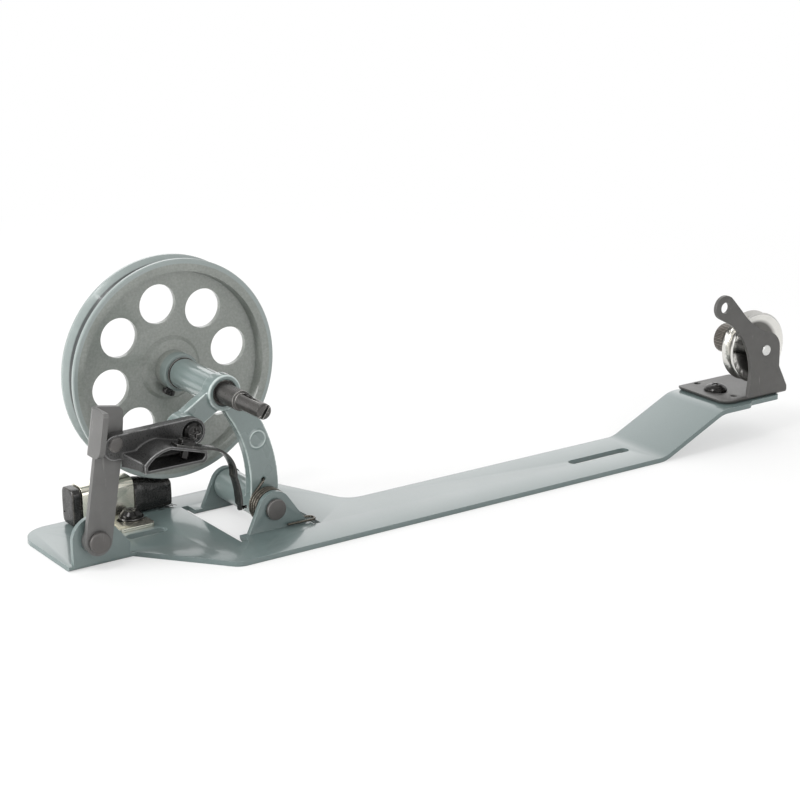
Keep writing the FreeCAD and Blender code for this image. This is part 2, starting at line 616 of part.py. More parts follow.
def make_link():
    link = body("latch_link_body")
    low = elbow_z - s.elbow_drop
    dx = s.link_x - elbow_x
    dz = s.link_height - low
    length = root(dx * dx + dz * dz)
    nx = -dz / length
    nz = dx / length
    pad(link, "bar", "XZ_Plane", link_front, link_back, [
        (elbow_x + nx * s.elbow_end, low + nz * s.elbow_end, Arc(elbow_x, low, True)),
        (elbow_x - nx * s.elbow_end, low - nz * s.elbow_end),
        (s.link_x - nx * s.link_end, s.link_height - nz * s.link_end, Arc(s.link_x, s.link_height, True)),
        (s.link_x + nx * s.link_end, s.link_height + nz * s.link_end)])
    hood_front = link_front - s.hood_depth
    middle = (link_front + link_back) / 2
    pad(link, "hood", "XZ_Plane", hood_front, middle, hood_outline(size(0)))
    pocket(link, "hood_mouth", "XZ_Plane", hood_front - 1, link_front, hood_outline(s.hood_wall))
    pocket(link, "bores", "XZ_Plane", link_front - 1, link_back + 1,
           (elbow_x, elbow_z, s.rivet_radius + s.running),
           (s.link_x, s.link_height, s.pivot_screw_radius + s.running))
    pocket(link, "screw_seat", "XZ_Plane", link_front - 4, link_front + s.recess_depth,
           (s.link_x, s.link_height, s.recess_radius))
    drill = roof_drill("link_drill", s.finger_screw_radius + s.running)
    cut = doc.addObject("Part::Cut", "latch_link_cut")
    cut.Base = link
    cut.Tool = drill
    doc.recompute()
    keep("latch_link", cut)


def roof_drill(name, radius):
    """A round tool square to the hood's roof, through the place of the finger screw."""
    tool = doc.addObject("Part::Cylinder", name)
    bind(tool, "Radius", radius)
    bind(tool, "Height", s.finger_screw_length)
    x, z = roof_spot(s.finger_screw_along, -s.finger_screw_length + s.drill_reach)
    place(tool, x, finger_middle, z)
    bind(tool, "Placement.Rotation.Axis.x", 0)
    bind(tool, "Placement.Rotation.Axis.y", 1)
    bind(tool, "Placement.Rotation.Axis.z", 0)
    bind(tool, "Placement.Rotation.Angle", s.hood_fall)
    doc.recompute()
    return tool


finger_middle = s.finger_front + s.finger_width / 2


def bowed(u0, v0, u1, v1, radius, side):
    """Centre of the arc of a given radius between two points."""
    du = u1 - u0
    dv = v1 - v0
    square = du * du + dv * dv
    reach = root(radius * radius / square - 0.25) * side
    return (u0 + u1) / 2 - dv * reach, (v0 + v1) / 2 + du * reach


def make_finger():
    """The flat strip lies on the hood's roof and then curls down past its right end."""
    lift = s.seat_gap
    thick = s.finger_thick
    a0 = roof_spot(s.finger_screw_along - s.finger_heel, lift)
    a1 = roof_spot(s.finger_screw_along - s.finger_heel, lift + thick)
    far = (s.hood_right - s.hood_peak_x) / cosine(s.hood_fall) + s.finger_lip
    b0 = roof_spot(far, lift)
    b1 = roof_spot(far, lift + thick)
    c0 = (b0[0] + s.finger_drop_x, b0[1] - s.finger_drop)
    c1 = (c0[0] + thick, c0[1] + thick * 0.2)
    d0 = (c0[0] + s.finger_tail_x, c0[1] - s.finger_tail)
    d1 = (d0[0] + thick, d0[1] + thick * 0.1)
    strip = body("fill_finger_body")
    upper_in = bowed(c0[0], c0[1], b0[0], b0[1], s.finger_round, 1)
    upper_out = bowed(c1[0], c1[1], b1[0], b1[1], s.finger_round + thick, 1)
    lower_in = bowed(d0[0], d0[1], c0[0], c0[1], s.finger_flat, 1)
    lower_out = bowed(d1[0], d1[1], c1[0], c1[1], s.finger_flat + thick, 1)
    pad(strip, "strip", "XZ_Plane", s.finger_front, s.finger_front + s.finger_width, [
        a0, (b0[0], b0[1], Arc(upper_in[0], upper_in[1], False)),
        (c0[0], c0[1], Arc(lower_in[0], lower_in[1], False)), d0,
        (d1[0], d1[1], Arc(lower_out[0], lower_out[1], True)),
        (c1[0], c1[1], Arc(upper_out[0], upper_out[1], True)), b1, a1])
    drill = roof_drill("finger_drill", s.finger_screw_radius + s.running)
    cut = doc.addObject("Part::Cut", "fill_finger_cut")
    cut.Base = strip
    cut.Tool = drill
    doc.recompute()
    keep("fill_finger", cut)

    x, z = roof_spot(s.finger_screw_along, thick + 2 * lift)
    screw = turned("finger_screw_body", "Z", (x, finger_middle, z), [
        (0, -s.finger_screw_length), (s.finger_screw_radius - s.chamfer, -s.finger_screw_length),
        (s.finger_screw_radius, -s.finger_screw_length + s.chamfer), (s.finger_screw_radius, 0),
        (s.finger_screw_head, 0), (s.finger_screw_head, s.finger_screw_rise - s.chamfer),
        (s.finger_screw_head - s.chamfer, s.finger_screw_rise), (0, s.finger_screw_rise)])
    cross_drive(screw, "finger_drive", "XY_Plane", s.finger_screw_rise, (0, 0), -1)
    bind(screw, "Placement.Rotation.Axis.x", 0)
    bind(screw, "Placement.Rotation.Axis.y", 1)
    bind(screw, "Placement.Rotation.Axis.z", 0)
    bind(screw, "Placement.Rotation.Angle", s.hood_fall)
    keep("finger_screw", screw)


def make_link_screw():
    seat = link_front + s.recess_depth - s.seat_gap
    face = seat - s.pivot_screw_rise
    end = s.arm_face + s.arm_plate - s.pivot_screw_short
    screw = turned("link_pivot_screw_body", "Y", (s.link_x, 0, s.link_height), [
        (0, face), (s.pivot_screw_head - s.pivot_screw_edge, face),
        (s.pivot_screw_head, face + s.pivot_screw_edge),
        (s.pivot_screw_head, seat), (s.pivot_screw_radius, seat), (s.pivot_screw_radius, end - s.chamfer),
        (s.pivot_screw_radius - s.chamfer, end), (0, end)])
    cross_drive(screw, "pivot_drive", "XZ_Plane", face, (0, 0), 1)
    keep("link_pivot_screw", screw)


def make_swing_arm():
    arm = body("swing_arm_body")
    front = s.arm_face
    back = s.arm_face + s.arm_plate
    sx = s.spindle_x
    sz = s.spindle_height
    # strut from the barrel to the link pivot
    dx = s.link_x - sx
    dz = s.link_height - sz
    length = root(dx * dx + dz * dz)
    nx = -dz / length * s.strut_width / 2
    nz = dx / length * s.strut_width / 2
    pad(arm, "strut", "XZ_Plane", front, back, [
        (sx + nx, sz + nz), (s.link_x + nx, s.link_height + nz, Arc(s.link_x, s.link_height, True)),
        (s.link_x - nx, s.link_height - nz), (sx - nx, sz - nz)])
    # bowed leg from the barrel down to the hinge
    half = s.leg_width / 2
    high = s.leg_root
    hz = s.hinge_height
    inner = (-half, hz, -half - s.leg_lean, high)
    ci = bowed(inner[0], inner[1], size(inner[2]), inner[3], s.leg_inner, 1)
    outer_top = (sx + s.barrel_radius, sz)
    co = bowed(half, hz, outer_top[0], outer_top[1], s.leg_outer, 1)
    pad(arm, "leg", "XZ_Plane", front, back, [
        (-half, hz, Arc(0, hz, True)), (half, hz, Arc(co[0], co[1], True)), outer_top,
        (sx - s.leg_shoulder, sz), (inner[2], high, Arc(ci[0], ci[1], False))])
    pad(arm, "spindle_barrel", "XZ_Plane", front, s.barrel_back, (sx, sz, s.barrel_radius))
    pad(arm, "ring", "XZ_Plane", front - s.ring_rise, back, (sx, sz, s.ring_radius))
    pad(arm, "hinge_barrel", "XZ_Plane", front, ear_back - s.boss_gap, (0, hz, s.boss_radius))
    pad(arm, "spring_collar", "XZ_Plane", front - s.collar_rise, back, (0, hz, s.collar_radius))
    pad(arm, "link_boss", "XZ_Plane", link_back + s.boss_gap, back,
        (s.link_x, s.link_height, s.link_boss))
    pocket(arm, "bush_bore", "XZ_Plane", front - s.ring_rise - 1, s.barrel_back + 1,
           (sx, sz, s.bush_radius + s.running))
    pocket(arm, "hinge_bore", "XZ_Plane", front - s.collar_rise - 1, ear_back, (0, hz, s.boss_bore))
    pocket(arm, "screw_bore", "XZ_Plane", link_back, back + 1,
           (s.link_x, s.link_height, s.pivot_screw_radius + s.running))
    pocket(arm, "hook_hole", "XZ_Plane", front - 1, front + s.hook_depth + s.hook_room,
           (hook_x, hook_z, s.coil_wire + s.hook_room))
    keep("swing_arm", arm)


hook_x = size(0)
hook_z = s.hook_height


def arc_between(start, heading, end):
    """The arc that leaves a point along a heading and ends at another point."""
    chord = end - start
    flat = chord * (1.0 / chord.Length)
    lean = heading - flat * heading.dot(flat)
    if lean.Length < 1e-7:
        return Part.LineSegment(start, end).toShape()
    angle = math.acos(max(-1.0, min(1.0, heading.dot(flat))))
    middle = (start + end) * 0.5 + lean * (chord.Length / 2 * math.tan(angle / 2) / lean.Length)
    return Part.Arc(start, middle, end).toShape()


def two_arcs(p0, t0, p1, t1):
    """Two arcs that join smoothly between two points with given headings."""
    v = p1 - p0
    t = t0 + t1
    slack = 2 * (1 - t0.dot(t1))
    if slack < 1e-9:
        return [Part.LineSegment(p0, p1).toShape()]
    vt = v.dot(t)
    d = (-vt + math.sqrt(vt * vt + slack * v.dot(v))) / slack
    middle = ((p0 + t0 * d) + (p1 - t1 * d)) * 0.5
    q = p1 - t1 * d
    return [arc_between(p0, t0, middle), arc_between(middle, (q - middle).normalize(), p1)]


def wire_tube(points, radius):
    """One unbroken tube along (point, heading) stations; returns its shape and its wire."""
    edges = []
    for (p0, t0), (p1, t1) in zip(points, points[1:]):
        edges.extend(two_arcs(p0, t0, p1, t1))
    path = Part.Wire(edges)
    start, heading = points[0]
    profile = Part.Wire([Part.Circle(start, heading, radius).toShape()])
    shell = Part.BRepOffsetAPI.MakePipeShell(path)
    shell.add(profile)
    shell.build()
    shell.makeSolid()
    return shell.shape(), path


def least_gap(path, radius, apart):
    """The least free gap between stretches of a wound tube, on points along its path."""
    count = max(60, int(path.Length / radius / 1.2))
    points = path.discretize(Number=count)
    step = path.Length / (count - 1)
    skip = int(math.ceil(apart / step))
    least = 1e9
    for i, a in enumerate(points):
        for b in points[i + skip:]:
            least = min(least, (a - b).Length)
    return least - 2 * radius


def cell(name):
    """The present value of a sheet cell."""
    return float(sheet.get(name))


def return_spring_stations():
    """The foot round the front ear, the coils, and the hook in the leg's hole."""
    r = cell("coil_radius")
    pitch = cell("coil_pitch")
    y0 = cell("coil_start")
    centre = cell("hinge_height")
    reach = cell("foot_reach")
    low = cell("foot_height")
    outside = y0 - 2 * cell("foot_turn")
    slope = math.atan(pitch / (2 * math.pi * r))
    vector = FreeCAD.Vector

    def coil(swept, y):
        a = math.radians(swept)
        spot = vector(-r * math.sin(a), y, centre - r * math.cos(a))
        flat = math.cos(slope)
        return spot, vector(-math.cos(a) * flat, math.sin(slope), math.sin(a) * flat)

    drop = centre - low
    start = math.degrees(math.acos(r / math.hypot(reach, drop)) - math.atan2(reach, drop))
    rise = cell("hook_height") - centre
    leave = 180 - math.degrees(math.acos(r / rise)) + 360 * int(cell("coil_turns"))
    contact = coil(start, y0)[0]
    inward = (contact - vector(reach, y0, low)).normalize()
    outward = inward * -1
    bend = vector(reach, outside, low)
    stations = [(bend - outward * (reach - cell("foot_back")), outward), (bend, outward),
                (vector(reach, y0, low), inward), (contact, inward)]
    total = leave - start
    steps = int(math.ceil(total / 90.0))
    for index in range(1, steps + 1):
        swept = total * index / steps
        stations.append(coil(start + swept, y0 + pitch * swept / 360.0))
    last = stations[-1][0]
    knee = vector(0, last.y, centre + rise)
    run = (knee - last).normalize()
    curl = cell("hook_bend")
    back = vector(0, 1, 0)
    stations.append((knee - run * curl, run))
    stations.append((knee + back * curl, back))
    stations.append((vector(0, cell("arm_face") + cell("hook_depth"), knee.z), back))
    return stations


def make_spindle():
    sx = s.spindle_x
    sz = s.spindle_height
    end = s.wheel_front + s.wheel_width - s.shaft_short
    spindle = turned("spindle_body", "Y", (sx, 0, sz), [
        (0, s.tip_front), (s.tip_radius - s.tip_edge, s.tip_front),
        (s.tip_radius, s.tip_front + s.tip_edge),
        (s.tip_radius, s.step_at - s.step_edge), (s.shaft_radius, s.step_at),
        (s.shaft_radius, end - s.chamfer),
        (s.shaft_radius - s.chamfer, end), (0, end)])
    reach = s.tip_radius + 1
    half = s.tip_slot / 2
    c = cosine(s.tip_slot_turn)
    d = sine(s.tip_slot_turn)
    corners = [(-reach * c + half * d, -reach * d - half * c), (reach * c + half * d, reach * d - half * c),
               (reach * c - half * d, reach * d + half * c), (-reach * c - half * d, -reach * d + half * c)]
    pocket(spindle, "tip_slot", "XZ_Plane", s.tip_front - 1, s.tip_front + s.tip_slot_depth, corners)
    floor = s.tip_radius - s.clip_groove_depth
    pocket(spindle, "clip_groove", "XZ_Plane", s.clip_front - s.clip_inset, s.clip_back + s.clip_inset,
           box_corners(-s.clip_groove / 2, floor, s.clip_groove / 2, s.tip_radius + 1))
    keep("spindle", spindle)

    front = s.arm_face - s.ring_rise + s.bush_inset
    back = s.barrel_back - s.bush_inset
    for name, low in (("spindle_bush_front", front), ("spindle_bush_rear", back - s.bush_length)):
        keep(name, turned(name + "_body", "Y", (sx, 0, sz), [
            (s.shaft_radius + s.running, low), (s.bush_radius, low), (s.bush_radius, low + s.bush_length),
            (s.shaft_radius + s.running, low + s.bush_length)]))

    # bowed clip that grips a bobbin on the tip
    clip = body("bobbin_clip_body")
    half = s.clip_wire / 2
    low = s.tip_radius - s.clip_groove_depth + s.seat_gap
    mid = (s.clip_front + s.clip_back) / 2
    pad(clip, "bow", "YZ_Plane", -half, half, [
        (s.clip_front, low), (s.clip_back, low), (s.clip_back, low + s.clip_wire),
        (mid + s.bow_half, s.tip_radius + s.bow_height - s.bow_dip),
        (mid, s.tip_radius + s.bow_height - s.bow_crest),
        (mid - s.bow_half, s.tip_radius + s.bow_height - s.bow_dip), (s.clip_front, low + s.clip_wire)])
    place(clip, sx, 0, sz)
    keep("bobbin_clip", clip)


def make_wheel():
    sx = s.spindle_x
    sz = s.spindle_height
    front = s.wheel_front
    back = s.wheel_front + s.wheel_width
    middle = (front + back) / 2
    web_back = s.web_front + s.web_thick
    edge = s.chamfer
    rim_inner = s.wheel_radius - s.groove_depth - s.rim_wall
    wheel = turned("winding_wheel_body", "Y", (0, 0, 0), [
        (s.hub_bore, s.hub_front), (s.hub_radius - edge, s.hub_front), (s.hub_radius, s.hub_front + edge),
        (s.hub_radius, s.web_front - s.disc_rise), (s.disc_boss, s.web_front - s.disc_rise),
        (s.disc_boss + s.disc_rise, s.web_front), (rim_inner - s.rim_draft, s.web_front),
        (rim_inner, front), (s.wheel_radius - edge, front), (s.wheel_radius, front + edge),
        (s.wheel_radius, front + s.groove_land),
        (s.wheel_radius - s.groove_depth, middle - s.groove_floor / 2),
        (s.wheel_radius - s.groove_depth, middle + s.groove_floor / 2),
        (s.wheel_radius, back - s.groove_land),
        (s.wheel_radius, back - edge), (s.wheel_radius - edge, back), (rim_inner, back),
        (rim_inner - s.rim_draft, web_back), (s.disc_boss, web_back), (s.disc_boss, back - s.boss_short),
        (s.hub_bore, back - s.boss_short)])
    hole = pocket(wheel, "web_hole", "XZ_Plane", s.web_front - 0.5, web_back + 0.5,
                  (s.hole_pitch * cosine(s.hole_turn), s.hole_pitch * sine(s.hole_turn), s.hole_radius))
    holes = wheel.newObject("PartDesign::PolarPattern", "web_holes")
    holes.Originals = [hole]
    holes.Axis = (plane(wheel, "Y_Axis"), [""])
    holes.Angle = 360.0
    bind(holes, "Occurrences", s.wheel_holes)
    wheel.Tip = holes
    doc.recompute()
    place(wheel, sx, 0, sz)
    drill = doc.addObject("Part::Cylinder", "set_screw_drill")
    bind(drill, "Radius", s.set_screw_radius + s.running)
    bind(drill, "Height", s.hub_radius + 2)
    turn_set_screw(drill, 0)
    cut = doc.addObject("Part::Cut", "winding_wheel_cut")
    cut.Base = wheel
    cut.Tool = drill
    doc.recompute()
    keep("winding_wheel", cut)

    head = s.hub_radius + s.set_screw_lift
    screw = turned("wheel_set_screw_body", "Z", (0, 0, 0), [
        (0, s.shaft_radius + 0.2), (s.set_screw_radius, s.shaft_radius + 0.2), (s.set_screw_radius, head),
        (s.set_screw_head, head), (s.set_screw_head, head + s.set_screw_rise - s.chamfer),
        (s.set_screw_head - s.chamfer, head + s.set_screw_rise), (0, head + s.set_screw_rise)])
    reach = s.set_screw_head + 1
    crown = head + s.set_screw_rise
    pocket(screw, "screw_slot", "XY_Plane", crown - s.set_screw_slot, crown + 1,
           box_corners(-reach, -s.cross_width / 2, reach, s.cross_width / 2))
    turn_set_screw(screw, 0)
    keep("wheel_set_screw", screw)

    low = s.barrel_back + s.washer_gap
    keep("thrust_washer", turned("thrust_washer_body", "Y", (sx, 0, sz), [
        (s.shaft_radius + s.running, low), (s.washer_radius, low),
        (s.washer_radius, s.hub_front - s.washer_gap),
        (s.shaft_radius + s.running, s.hub_front - s.washer_gap)]))


def turn_set_screw(thing, lift):
    """Points a piece made along Z out of the hub, down and to the left."""
    place(thing, s.spindle_x, s.set_screw_at, s.spindle_height)
    bind(thing, "Placement.Rotation.Axis.x", 0)
    bind(thing, "Placement.Rotation.Axis.y", 1)
    bind(thing, "Placement.Rotation.Axis.z", 0)
    bind(thing, "Placement.Rotation.Angle", 180 + s.set_screw_turn)


def make_brake():
    floor = s.sheet + s.pad_lift
    back = s.brake_front + s.brake_deep
    top = s.brake_top
    wall = s.brake_wall
    bracket = body("brake_bracket_body")
    pad(bracket, "sleeve", "YZ_Plane", s.brake_left, s.brake_right,
        box_corners(s.brake_front, s.sheet, back, top))
    beside = s.brake_front - s.leather_clear
    pad(bracket, "foot", "XY_Plane", s.sheet, s.sheet + s.foot_sheet, [
        (s.foot_left, s.foot_front), (s.foot_right, s.foot_front), (s.foot_right, beside),
        (s.brake_right, beside), (s.brake_right, s.brake_front + wall),
        (s.foot_left, s.brake_front + wall)])
    round_edges(bracket, "foot_corners", upright_at(2, [(s.foot_left, s.foot_front),
    (s.foot_right, s.foot_front)]),
                s.screw_radius)
    round_edges(bracket, "sleeve_top", upright_at(0, [(s.brake_front, top), (back, top)]), s.brake_round)
    pocket(bracket, "sleeve_bore", "YZ_Plane", s.brake_left - 1, s.brake_right + 1,
           box_corners(s.brake_front + wall, s.sheet + s.foot_sheet, back - wall, top - wall))
    bore = [(s.brake_front + wall, top - wall), (back - wall, top - wall)]
    round_edges(bracket, "bore_top", upright_at(0, bore), s.brake_round - wall)
    pocket(bracket, "foot_slot", "XY_Plane", s.sheet - 1, s.sheet + s.foot_sheet + 1,
           slot_corners(s.brake_screw_x, s.brake_screw_y, s.brake_slot_length,
                        2 * (s.screw_radius + s.screw_clear)))
    keep("brake_bracket", bracket)

    clear = s.leather_clear
    leather = body("brake_leather_body")
    inner_front = s.brake_front + wall + clear
    inner_back = back - wall - clear
    inner_low = s.sheet + s.foot_sheet + clear
    inner_top = top - wall - clear
    pad(leather, "core", "YZ_Plane", s.brake_left - clear, s.brake_right + clear,
        box_corners(inner_front, inner_low, inner_back, inner_top))
    core = [(inner_front, inner_top), (inner_back, inner_top)]
    round_edges(leather, "core_top", upright_at(0, core), s.brake_round - wall)
    pad(leather, "block", "YZ_Plane", s.brake_right + clear, s.leather_right,
        rounded_box(s.brake_front, floor, back, s.block_top, s.leather_round))
    pad(leather, "pad", "YZ_Plane", s.pad_left, s.brake_left - clear,
        rounded_box(s.brake_front, floor, back, s.pad_top, s.leather_round))
    keep("brake_leather", leather)

    low = s.sheet + s.foot_sheet + s.seat_gap / 2
    rest = low + s.washer_thick + s.seat_gap / 2
    keep("brake_washer", turned("brake_washer_body", "Z", (s.brake_screw_x, s.brake_screw_y, 0), [
        (s.screw_radius + s.washer_play, low), (s.washer_outer, low),
        (s.washer_outer, low + s.washer_thick),
        (s.screw_radius + s.washer_play, low + s.washer_thick)]))
    screw = turned("brake_screw_body", "Z", (s.brake_screw_x, s.brake_screw_y, 0), [
        (0, s.screw_short), (s.screw_radius, s.screw_short), (s.screw_radius, rest), (s.screw_head, rest),
        (s.screw_head, rest + s.head_side), (s.head_flat, rest + s.screw_rise),
        (0, rest + s.screw_rise)])
    cross_drive(screw, "brake_drive", "XY_Plane", rest + s.screw_rise, (0, 0), -1)
    keep("brake_screw", screw)


def make_tension():
    front = s.bracket_front
    left = s.foot_x
    right = s.foot_x + s.foot_wide
    bracket = body("tension_bracket_body")
    pad(bracket, "foot", "XY_Plane", bracket_floor, bracket_top,
        box_corners(left, front, right, s.bracket_back))
    corners = [(left, s.bracket_back), (right, s.bracket_back)]
    round_edges(bracket, "foot_corners", upright_at(2, corners), s.bracket_corner)
    round_edges(bracket, "foot_nose", upright_at(2, [(left, front)]), s.bracket_nose)
    # upright with its shoulder round the post and the arm that ends in the thread eye
    px = s.post_x
    pz = s.post_height
    ex = s.eye_x
    ez = s.eye_height
    low = bracket_floor
    waist = s.upright_waist
    shoulder = touch_point(waist, s.waist_height, px, pz, s.post_pad, 1)
    # the two straight sides of the eye arm
    dx = ex - px
    dz = ez - pz
    span = root(dx * dx + dz * dz)
    ux = dx / span
    uz = dz / span
    across = 0.9
    along = root(1 - size(across) * across)
    arm_root = (px + s.post_pad * (uz * across + ux * along), pz + s.post_pad * (uz * along - ux * across))
    neck = (s.upright_left + s.neck_in, pz - s.neck_drop)
    elbow = (s.upright_left - s.elbow_out, pz + s.elbow_rise)
    dip = (px - s.dip_left, pz + s.dip_rise)
    swoop = bowed(elbow[0], elbow[1], neck[0], neck[1], s.swoop_radius, -1)
    hollow = bowed(dip[0], dip[1], arm_root[0], arm_root[1], s.dip_radius, 1)
    eye_out = touch_point(dip[0], dip[1], ex, ez, s.eye_pad, 1)
    eye_in = touch_point(elbow[0], elbow[1], ex, ez, s.eye_pad, -1)
    pad(bracket, "upright", "XZ_Plane", front, upright_back, [
        (s.upright_left, low), (s.upright_right, low), (s.upright_right, low + s.upright_root),
        (waist, s.waist_height),
        (shoulder[0], shoulder[1], Arc(px, pz, True)),
        (arm_root[0], arm_root[1], Arc(hollow[0], hollow[1], False)), dip,
        (eye_out[0], eye_out[1], Arc(ex, ez, True)), eye_in,
        (elbow[0], elbow[1], Arc(swoop[0], swoop[1], False)), neck])
    round_edges(bracket, "fold", upright_at(0, [(front, low)]), s.bracket_fold)
    pocket(bracket, "upright_holes", "XZ_Plane", front - 1, upright_back + 1,
           (px, pz, s.post_radius + s.running), (ex, ez, s.eye_radius))
    spot = s.bracket_screw_y
    hole_back = spot + s.small_hole_apart
    hole_front = spot - s.small_hole_apart
    width = 2 * (s.screw_radius + s.screw_clear)
    half = (s.bracket_slot_length - width) / 2
    r = width / 2
    bx = s.bracket_screw_x
    slot = [(bx + r, spot - half), (bx + r, spot + half, Arc(bx, spot + half, True)),
            (bx - r, spot + half), (bx - r, spot - half, Arc(bx, spot - half, True))]
    pocket(bracket, "foot_holes", "XY_Plane", bracket_floor - 1, bracket_top + 1, slot,
           (bx, hole_back, s.small_hole), (bx, hole_front, s.small_hole))
    keep("tension_bracket", bracket)

    rest = bracket_top + s.seat_gap / 2
    bow = s.truss_rise
    screw = turned("bracket_screw_body", "Z", (bx, spot, 0), [
        (0, s.rise + s.screw_short), (s.screw_radius, s.rise + s.screw_short), (s.screw_radius, rest),
        (s.truss_radius, rest),
        (s.truss_radius, rest + bow * 0.25), (s.truss_radius * 0.82, rest + bow * 0.66),
        (s.truss_radius * 0.55, rest + bow * 0.92), (s.truss_radius * 0.3, rest + bow), (0, rest + bow)])
    cross_drive(screw, "bracket_drive", "XY_Plane", rest + bow, (0, 0), -1)
    keep("bracket_screw", screw)

    collar_front = upright_back + s.seat_gap / 2
    collar_back = s.disc_plane - s.disc_sheet - s.disc_play
    keep("tension_post", turned("tension_post_body", "Y", (px, 0, pz), [
        (0, front - s.post_edge), (s.post_radius - s.post_edge, front - s.post_edge),
        (s.post_radius, front), (s.post_radius, collar_front),
        (s.collar_outer, collar_front), (s.collar_outer, collar_back), (s.post_radius, collar_back),
        (s.post_radius, s.post_back - s.post_point),
        (s.post_radius - s.post_point, s.post_back), (0, s.post_back)]))
    make_disc("tension_disc_front", s.disc_plane, -1)
    make_disc("tension_disc_rear", s.disc_plane + s.disc_gap, 1)

    nut_front = s.nut_front
    nut = turned("tension_nut_body", "Y", (0, 0, 0), [
        (s.post_radius + s.running, nut_front - s.nut_hub_rise), (s.nut_hub, nut_front - s.nut_hub_rise),
        (s.nut_hub, nut_front), (s.nut_radius - s.nut_edge, nut_front),
        (s.nut_radius, nut_front + s.nut_edge),
        (s.nut_radius, nut_front + s.nut_length - s.nut_edge),
        (s.nut_radius - s.nut_edge, nut_front + s.nut_length),
        (s.post_radius + s.running, nut_front + s.nut_length)])
    knurl = pocket(nut, "knurl", "XZ_Plane", nut_front - 0.5, nut_front + s.nut_length + 0.5,
                   (s.nut_radius + s.nut_groove * 0.3, 0, s.nut_groove))
    knurls = nut.newObject("PartDesign::PolarPattern", "knurls")
    knurls.Originals = [knurl]
    knurls.Axis = (plane(nut, "Y_Axis"), [""])
    knurls.Angle = 360.0
    bind(knurls, "Occurrences", s.nut_grooves)
    nut.Tip = knurls
    doc.recompute()
    place(nut, px, 0, pz)
    keep("tension_nut", nut)


def make_disc(name, seat, side):
    """A dished disc: flat middle, cupped wall and a flared lip; side -1 opens to the front."""
    t = s.disc_sheet * side
    hole = s.post_radius + s.disc_play
    flat = s.disc_flat
    cup = s.disc_cup * side
    flare = (s.disc_cup + s.disc_flare) * side
    keep(name, turned(name + "_body", "Y", (s.post_x, 0, s.post_height), [
        (hole, seat), (flat, seat), (s.disc_radius - s.disc_skirt, seat + cup),
        (s.disc_radius, seat + flare), (s.disc_radius - s.disc_lip, seat + flare + t),
        (s.disc_radius - s.disc_skirt - s.disc_lip, seat + cup + t), (flat, seat + t), (hole, seat + t)]))


def spring_feature(name, shape):
    made = doc.addObject("Part::Feature", name + "_shape")
    made.Shape = shape
    made.Placement = FreeCAD.Placement()
    keep(name, made)


def make_springs():
    wire = cell("coil_wire")
    shape, path = wire_tube(return_spring_stations(), wire)
    print("return spring: length %.1f mm, volume %.1f of %.1f, least gap to itself %.2f mm" % (
        path.Length, shape.Volume, path.Length * math.pi * wire * wire, least_gap(path, wire, 6 * wire)))
    spring_feature("return_spring", shape)

    # conical spring between the rear disc and the thumb nut
    wide = cell("spring_wide")
    narrow = cell("spring_narrow")
    thin = cell("spring_wire")
    turns = cell("spring_turns")
    room = cell("spring_room")
    low = cell("disc_plane") + cell("disc_gap") + cell("disc_sheet") + thin + room
    high = cell("nut_front") - cell("nut_hub_rise") - thin - room
    px = cell("post_x")
    pz = cell("post_height")
    steps = int(round(turns * 4))
    stations = []
    for index in range(steps + 1):
        share = index / steps
        angle = 2 * math.pi * turns * share
        radius = wide + (narrow - wide) * share
        y = low + (high - low) * share
        spot = FreeCAD.Vector(px + radius * math.cos(angle), y, pz + radius * math.sin(angle))
        pace = 2 * math.pi * turns
        heading = FreeCAD.Vector(
            (narrow - wide) * math.cos(angle) - radius * pace * math.sin(angle),
            high - low,
            (narrow - wide) * math.sin(angle) + radius * pace * math.cos(angle))
        stations.append((spot, heading.normalize()))
    for end, sign in ((0, -1), (-1, 1)):
        spot, heading = stations[end]
        tail = (spot + heading * (2 * thin * sign), heading)
        if end == 0:
            stations.insert(0, tail)
        else:
            stations.append(tail)
    shape, path = wire_tube(stations, thin)
    print("tension spring: length %.1f mm, volume %.1f of %.1f, least gap to itself %.2f mm" % (
        path.Length, shape.Volume, path.Length * math.pi * thin * thin, least_gap(path, thin, 6 * thin)))
    spring_feature("tension_spring", shape)


make_base()
make_pins()
make_lever()
make_link()
make_finger()
make_link_screw()
make_swing_arm()
make_spindle()
make_wheel()
make_brake()
make_tension()
make_springs()

doc.recompute()
for thing in doc.Objects:
    if "Invalid" in thing.State or "Error" in thing.State:
        raise ValueError("%s did not build" % thing.Label)
for name, thing in nodes.items():
    if thing.Shape.isNull() or not thing.Shape.isValid():
        raise ValueError("%s has no valid shape" % name)
os.makedirs("parts", exist_ok=True)
for name, thing in nodes.items():
    thing.Shape.exportStep("parts/%s.step" % name)
print("%d sub-parts written" % len(nodes))
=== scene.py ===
import bpy
import json
import math
from mathutils import Matrix, Vector

